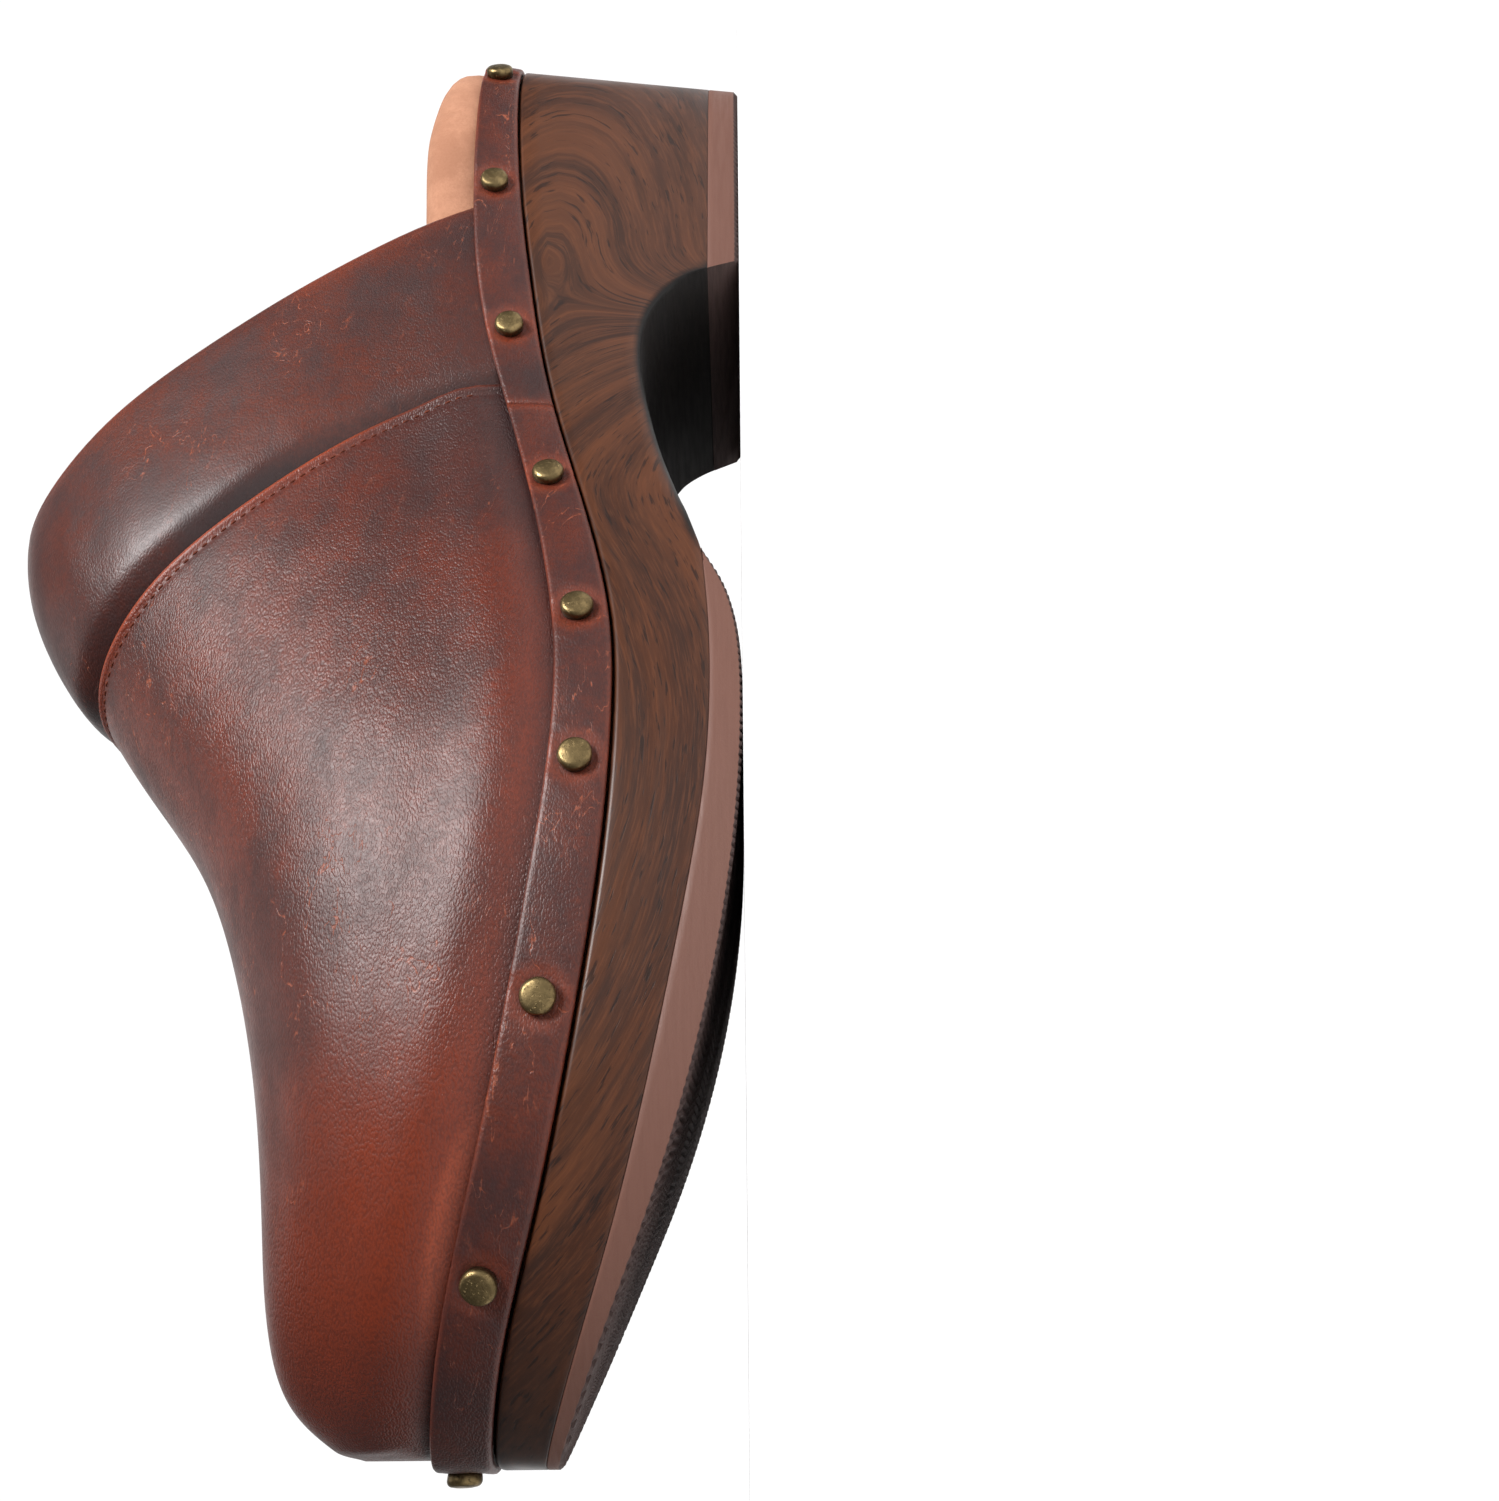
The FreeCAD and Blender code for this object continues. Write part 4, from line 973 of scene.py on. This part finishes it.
def vamp_relief(points, gone):
    """How far the vamp's leather stands off its skin; gone is the distance from the seam."""
    rise = above_rand(points)
    belly = 1.15 * bump_at(rise, 7.5, 5.5) * smooth_step(rise, -0.5, 3.0)
    crease = -0.55 * bump_at(rise, 0.4, 1.3)
    fold = 0.42 * bump_at(gone, 0.45, 0.6)
    row = -0.20 * bump_at(gone, 1.6, 0.55)
    soft = 0.25 * np.sin(points[..., 0] * 0.07 + points[..., 2] * 0.05) * np.sin(points[..., 1] * 0.09 + 1.0)
    return belly + crease + fold + row + soft * smooth_step(gone, 5, 25) * smooth_step(rise, 2, 15)


VAMP_THICK, FOLD_REACH, MARGIN_ROWS = 1.55, 0.75, 14
tip_fade = 1 - smooth_step(shares, 0.985, 1.0)[:, None]
outer_vamp = vamp_skin + vamp_normal * (vamp_relief(vamp_skin, from_seam) * tip_fade)[..., None]
inner_vamp = vamp_skin - vamp_normal * VAMP_THICK
# the turned edge: a half round from the inner face to the outer one, reaching back over the collar
backwards = vamp_skin[0] - vamp_skin[3]
backwards /= np.maximum(np.linalg.norm(backwards, axis=1)[:, None], 1e-9)
middle, half = 0.5 * (outer_vamp[0] + inner_vamp[0]), 0.5 * (outer_vamp[0] - inner_vamp[0])
fold_rows = [middle + half * math.sin(a) + backwards * FOLD_REACH * math.cos(a)
             for a in np.radians([-90, -60, -30, 0, 30, 60, 90])]
vamp_grid = np.concatenate([inner_vamp[::-1][-MARGIN_ROWS:], np.stack(fold_rows), outer_vamp], axis=0)


def vamp_worn(points):
    """Rust on the turned edge, and a redder flush along the crease by the rand."""
    rows = points.shape[0]
    start = rows - len(shares)
    gone = np.zeros(points.shape[:2])
    gone[start:] = from_seam
    edge = np.where(np.arange(rows)[:, None] < start, 1.0, np.exp(-((gone / 1.25) ** 2)))
    rise = above_rand(points)
    flush = 0.42 * np.exp(-((rise / 5.0) ** 2)) * smooth_step(points[..., 0], 100, 150)
    flush += 0.62 * bump_at(points[..., 0], 228, 26) * (1 - smooth_step(rise, 14, 38))
    return np.clip(np.maximum(edge * 0.95, flush), 0, 1)


def vamp_painted_shade(points):
    """Painted shade: darker in the crease along the rand, in the corner by the seam and at the toe."""
    rise = above_rand(points)
    x = points[..., 0]
    deep = 0.75 * np.exp(-((rise / 1.6) ** 2))
    corner = 0.68 * (1 - smooth_step(x, 95, 145)) * (1 - smooth_step(rise, 10, 38))
    toe = 0.35 * smooth_step(x, 236, 254) * (1 - smooth_step(rise, 3, 18))
    return np.clip(deep + corner + toe, 0, 0.9)


make_object("vamp_upper", [(vamp_grid, False, 0)], [vamp_leather],
            ["vamp", "vamp_doubler", "toe_puff"], {"worn": vamp_worn, "painted_shade_and_stain": vamp_painted_shade})


def lining_shell(name, node_name, insets, start_line, end_line, rows):
    """Thin shell inside the leather, between two insets; without an end line it closes at the toe."""
    shells = []
    columns = ANGLES[2:-2]
    share = np.linspace(0, 1, rows)
    if end_line is None:
        share = 1 - (1 - share) ** TOE_CROWDING
    for inset in insets:
        layer = Skin(inset)
        begin = layer.on_line(start_line, columns)
        finish = np.full(len(columns), layer.tip) if end_line is None else layer.on_line(end_line, columns)
        x = begin[None, :] + (finish - begin)[None, :] * share[:, None]
        shells.append(layer.point(x, columns[None, :]))
    grid = np.concatenate([shells[0][::-1], shells[1]], axis=0)
    make_object(name, [(grid, False, 0)], [lining_material], [node_name])


lining_shell("vamp_inner_lining", "vamp_lining", (2.6, 3.4), seam_x, None, 50)

# ---- padded collar
BAND_ROWS = 60     # rows from the seam to the rolled edge
edge_start = skin.on_line(edge_x, ANGLES)
UNDERLAP = 4.0                             # how far the collar runs on under the vamp's fold
seam_end = skin.on_line(lambda z: seam_x(z) + UNDERLAP, ANGLES)
band_share = np.linspace(0, 1, 120)
band_x = edge_start[None, :] + (seam_end - edge_start)[None, :] * band_share[:, None]
band_skin = skin.point(band_x, ANGLES[None, :])
band_normal = grid_normals(band_skin)
band_gone = travelled(band_skin)
ROLL = 3.1                                # radius of the rolled top edge


def band_sample(distance, column):
    """Skin point and normal at a distance from the opening's edge, down one column."""
    gone = band_gone[:, column]
    point = np.stack([np.interp(distance, gone, band_skin[:, column, k]) for k in range(3)], -1)
    normal = np.stack([np.interp(distance, gone, band_normal[:, column, k]) for k in range(3)], -1)
    return point, normal / np.maximum(np.linalg.norm(normal, axis=-1, keepdims=True), 1e-9)


def collar_grid():
    """The padded band: puffed between seam and rolled edge, then back down inside."""
    columns = []
    for c in range(len(ANGLES)):
        total = band_gone[-1, c]
        share = np.linspace(0, 1, BAND_ROWS)
        from_edge = ROLL + (total - ROLL) * share[::-1]          # seam to rolled edge
        to_seam = np.maximum(total - UNDERLAP - from_edge, -UNDERLAP)   # distance above the seam's fold
        free = np.clip(to_seam / max(total - UNDERLAP - ROLL, 1.0), 0, 1)
        angle = ANGLES[c]
        quarter = min(angle, 180 - angle)
        fat = 0.35 + 0.65 * float(smooth_step(quarter, 2, 30))
        puff = (2.5 * fat * np.sin(math.pi * free ** 0.62) ** 0.8
                - 1.45 * np.exp(-((np.maximum(to_seam, 0) / 2.6) ** 2)))
        wrinkle = 0.10 * np.sin(angle * 0.35 + 1.7 * np.sin(angle * 0.11)) * np.sin(math.pi * free)
        out, normal = band_sample(from_edge, c)
        rows = [out + normal * (puff + wrinkle)[:, None]]
        foot_puff = float(puff[-1])
        turn = np.radians(np.linspace(0, 180, 17)[1:])
        spot, normal = band_sample(np.array([ROLL]), c)
        tip_point, _ = band_sample(np.array([0.0]), c)
        back = tip_point - spot
        back = back / max(np.linalg.norm(back), 1e-9) * ROLL
        rows.append(spot + normal * (foot_puff - ROLL + ROLL * np.cos(turn))[:, None]
                    + back * np.sin(turn)[:, None])
        inner = np.linspace(ROLL, min(total - 6.0, 30.0), 12)[1:]
        out, normal = band_sample(inner, c)
        rows.append(out - normal * (2 * ROLL - foot_puff * np.exp(-(((inner - ROLL) / 6) ** 2)))[:, None])
        columns.append(np.vstack(rows))
    return np.stack(columns, 1)


def collar_worn(points):
    """Scuffed rust along the rolled edge, in patches."""
    rows = points.shape[0]
    at = np.arange(rows)[:, None]
    edge = np.exp(-(((at - (BAND_ROWS + 3)) / 5.0) ** 2))
    angle = ANGLES[None, :]
    patchy = 0.5 + 0.5 * np.sin(angle * 0.13 + 0.8 * np.sin(angle * 0.31))
    return np.clip(0.5 * edge * patchy, 0, 1)


def collar_painted_shade(points):
    """Painted shade in the valley above the seam, deepest in two patches, and low by the feather edges; also
    darker on the crown of the instep.
    """
    rows = points.shape[0]
    at = np.arange(rows)[:, None] / BAND_ROWS
    angle = ANGLES[None, :]
    valley = 0.85 * np.exp(-((at / 0.13) ** 2))
    patch = 0.75 * np.exp(-(((at - 0.10) / 0.10) ** 2)) * (
        bump_at(angle, 28, 9) + bump_at(angle, 152, 10))
    foot = 0.35 * (1 - smooth_step(np.minimum(angle, 180 - angle), 3, 16))
    crown = 0.35 * bump_at(angle, 95, 22) * smooth_step(at, 0.3, 0.7)
    return np.clip(valley + patch + foot + crown, 0, 0.92)


collar_piece = make_object("padded_collar", [(collar_grid(), False, 0)], [collar_leather],
                           ["collar_band", "collar_padding"], {"worn": collar_worn, "painted_shade_and_stain": collar_painted_shade})

lining_shell("collar_inner_lining", "collar_lining", (6.35, 7.0), lambda z: edge_x(z) + 9.0,
             lambda z: seam_x(z) + 6.0, 24)


# ---- seam stitches
ROW_IN, STITCH_PITCH, STITCH_LENGTH, THREAD_RADIUS = 1.55, 1.9, 1.45, 0.19


def make_stitches():
    """One row of stitches just inside the vamp's turned edge, each dipping in at its two ends."""
    line = np.array([[np.interp(ROW_IN, from_seam[:, c], grid[:, c, k])
                      for grid in (outer_vamp, vamp_normal) for k in range(3)]
                     for c in range(3, len(ANGLES) - 3)])
    along = np.concatenate([[0], np.cumsum(np.linalg.norm(np.diff(line[:, :3], axis=0), axis=1))])

    def on_row(place):
        found = np.array([np.interp(place, along, line[:, k]) for k in range(6)])
        return found[:3], found[3:]

    grids = []
    turns = np.linspace(0, 2 * math.pi, 9)[:-1]
    for start in np.arange(1.0, along[-1] - STITCH_LENGTH, STITCH_PITCH):
        rows = []
        for s in np.linspace(0, 1, 9):
            centre, normal = on_row(start + s * STITCH_LENGTH)
            forward = on_row(start + s * STITCH_LENGTH + 0.2)[0] - centre
            forward /= max(np.linalg.norm(forward), 1e-9)
            side = np.cross(normal, forward)
            arch_rise = 0.20 * math.sin(math.pi * s) - 0.16
            r = THREAD_RADIUS * max(math.sin(math.pi * s), 0.0) ** 0.4 + 1e-4
            rows.append(centre + normal * arch_rise
                        + r * (np.cos(turns)[:, None] * side + np.sin(turns)[:, None] * normal))
        grids.append((np.stack(rows), True, 0))
    return grids


make_object("seam_stitches", make_stitches(), [stitch_thread], ["collar_stitching"])


# ---- footbed
def bed_inset(x):
    """Depth of the footbed's edge: it draws in where the upper begins."""
    return 1.4 + 3.5 * smooth_step(x, 30, 46.5)


def bed_foot(u):
    """Height of the footbed's underside, just over the wood."""
    return rand_top(u) - 0.65


def bed_dish(u):
    """Share of the dish's drop: the whole of it at the heel, half at the forefoot."""
    return 0.5 + 0.5 * (1 - smooth_step(u, 70, 160))


def bed_depth(depth, x):
    """Depth of a ring inside the footbed's rim: the inner rings close up round the heel's back."""
    return min(depth, RIM_WIDTH) + max(depth - RIM_WIDTH, 0.0) * (0.3 + 0.7 * smooth_step(x, 6, 40))


def bed_ring(depth, share_up, drop=0.0):
    """A ring of the footbed: share_up is how far it has climbed from the wood to its rim."""
    def height(u):
        return bed_foot(u) + (bed_top(u) - bed_foot(u)) * share_up - drop * bed_dish(u)
    return (lambda x: bed_inset(x) + bed_depth(depth, x)), height


RIM_WIDTH, RIM_RADIUS, DISH_DROP = 6.8, 4.6, 4.3
WALL_RINGS = ((0.3, 0.0), (0.0, 0.08), (-0.15, 0.2), (-0.15, 0.33), (0.0, 0.45))      # depth, share up
DISH_RINGS = ((5.6, 0.05), (RIM_WIDTH, 0.3), (8.2, 0.9), (9.8, 1.8), (11.6, 2.8), (13.6, 3.7),
              (16.0, DISH_DROP))                                                       # depth, drop
bed_rings = [bed_ring(depth, up_share) for depth, up_share in WALL_RINGS]
bed_rings += [bed_ring(RIM_RADIUS * (1 - math.cos(a)), 0.45 + 0.55 * math.sin(a))
              for a in np.radians([15, 30, 45, 60, 75, 90])]
bed_rings += [bed_ring(depth, 1.0, drop) for depth, drop in DISH_RINGS]
bed_stations = tip_stations(0.0, LENGTH, 200, both=True)
bed_points = paired_body(bed_stations, bed_stations, bed_rings, 20, lambda u, x, y: bed_foot(u),
                         lambda u, x, y: bed_top(u) - DISH_DROP * bed_dish(u))
bed_piece = make_object("suede_footbed", [(bed_points, True, 0)], [suede_material],
                        ["footbed_cover", "footbed_cushion"])

# ---- floor, light and camera
floor_mesh = bpy.data.meshes.new("floor")
FLOOR_HALF = 3                             # metres
floor_mesh.from_pydata([(x * FLOOR_HALF, y * FLOOR_HALF, 0) for x, y in ((-1, -1), (1, -1), (1, 1), (-1, 1))],
                       [], [(0, 1, 2, 3)])
floor = bpy.data.objects.new("floor", floor_mesh)
bpy.context.scene.collection.objects.link(floor)
floor_paint = Paint("pale_floor", 0.8, specular=0.2)
floor_mesh.materials.append(floor_paint.finish((0.86, 0.86, 0.86)))

# the backdrop: white behind the clog as the camera sees it, dim all round the rest
world = bpy.data.worlds.new("studio")
bpy.context.scene.world = world
world.use_nodes = True
WORLD_LOW, WORLD_HIGH = 0.13, 1.05
CONE_EDGE, CONE_CORE = 0.50, 0.80          # cosines of the angle from the view's direction
YAW = math.radians(26.43)                  # the camera's turn towards the toe
_sky = world.node_tree
_place = _sky.nodes.new("ShaderNodeTexCoord")
_dot = _sky.nodes.new("ShaderNodeVectorMath")
_dot.operation = "DOT_PRODUCT"
_dot.inputs[1].default_value = (-math.sin(YAW), -math.cos(YAW), 0.0)
_fade = _sky.nodes.new("ShaderNodeMapRange")
_fade.interpolation_type = "SMOOTHSTEP"
for _key, _item in enumerate((CONE_EDGE, CONE_CORE, WORLD_LOW, WORLD_HIGH), 1):
    _fade.inputs[_key].default_value = _item
_sky.links.new(_place.outputs["Generated"], _dot.inputs[0])
_sky.links.new(_dot.outputs["Value"], _fade.inputs[0])
_sky.nodes["Background"].inputs["Color"].default_value = (1.0, 1.0, 1.0, 1.0)
_sky.links.new(_fade.outputs[0], _sky.nodes["Background"].inputs["Strength"])


MIDDLE_POINT = (0.085, 0.0, 0.05)


def area_light(name, place, size, power):
    """White square light that faces the clog's middle."""
    data = bpy.data.lights.new(name, "AREA")
    data.shape, data.size, data.size_y, data.energy = "RECTANGLE", size, size, power
    lamp = bpy.data.objects.new(name, data)
    bpy.context.scene.collection.objects.link(lamp)
    lamp.location = place
    lamp.rotation_mode = "QUATERNION"
    lamp.rotation_quaternion = (Vector(MIDDLE_POINT) - Vector(place)).to_track_quat("-Z", "Y")


area_light("key", (-0.17, 0.70, 0.67), 0.44, 14.0)
area_light("top", (0.15, -0.15, 1.0), 0.5, 0.9)

# the camera stands at ground level and on its side: the picture's up is the heel's end of the clog
CAMERA = (0.2255, 0.2370, 0.00004)
LENS, SENSOR = 37.17522, 36.0              # millimetres
ROLL_BY, TURN_BY = -0.0089, -0.0042        # radians, about the view's own axis and its up
back = Vector((math.sin(YAW), math.cos(YAW), 0.0))
up = Vector((-math.cos(YAW), math.sin(YAW), 0.0))
right = up.cross(back)
camera_data = bpy.data.cameras.new("camera")
camera_data.sensor_width = SENSOR
camera_data.sensor_fit = "HORIZONTAL"
camera_data.lens = LENS
camera_data.clip_start, camera_data.clip_end = 0.005, 20.0
camera = bpy.data.objects.new("camera", camera_data)
bpy.context.scene.collection.objects.link(camera)
roll = Matrix.Rotation(ROLL_BY, 3, back)
turn = Matrix.Rotation(TURN_BY, 3, up)
basis = roll @ turn @ Matrix((right, up, back)).transposed()
camera.matrix_world = Matrix.Translation(CAMERA) @ basis.to_4x4()
bpy.context.scene.camera = camera
bpy.context.scene.view_settings.view_transform = "Standard"
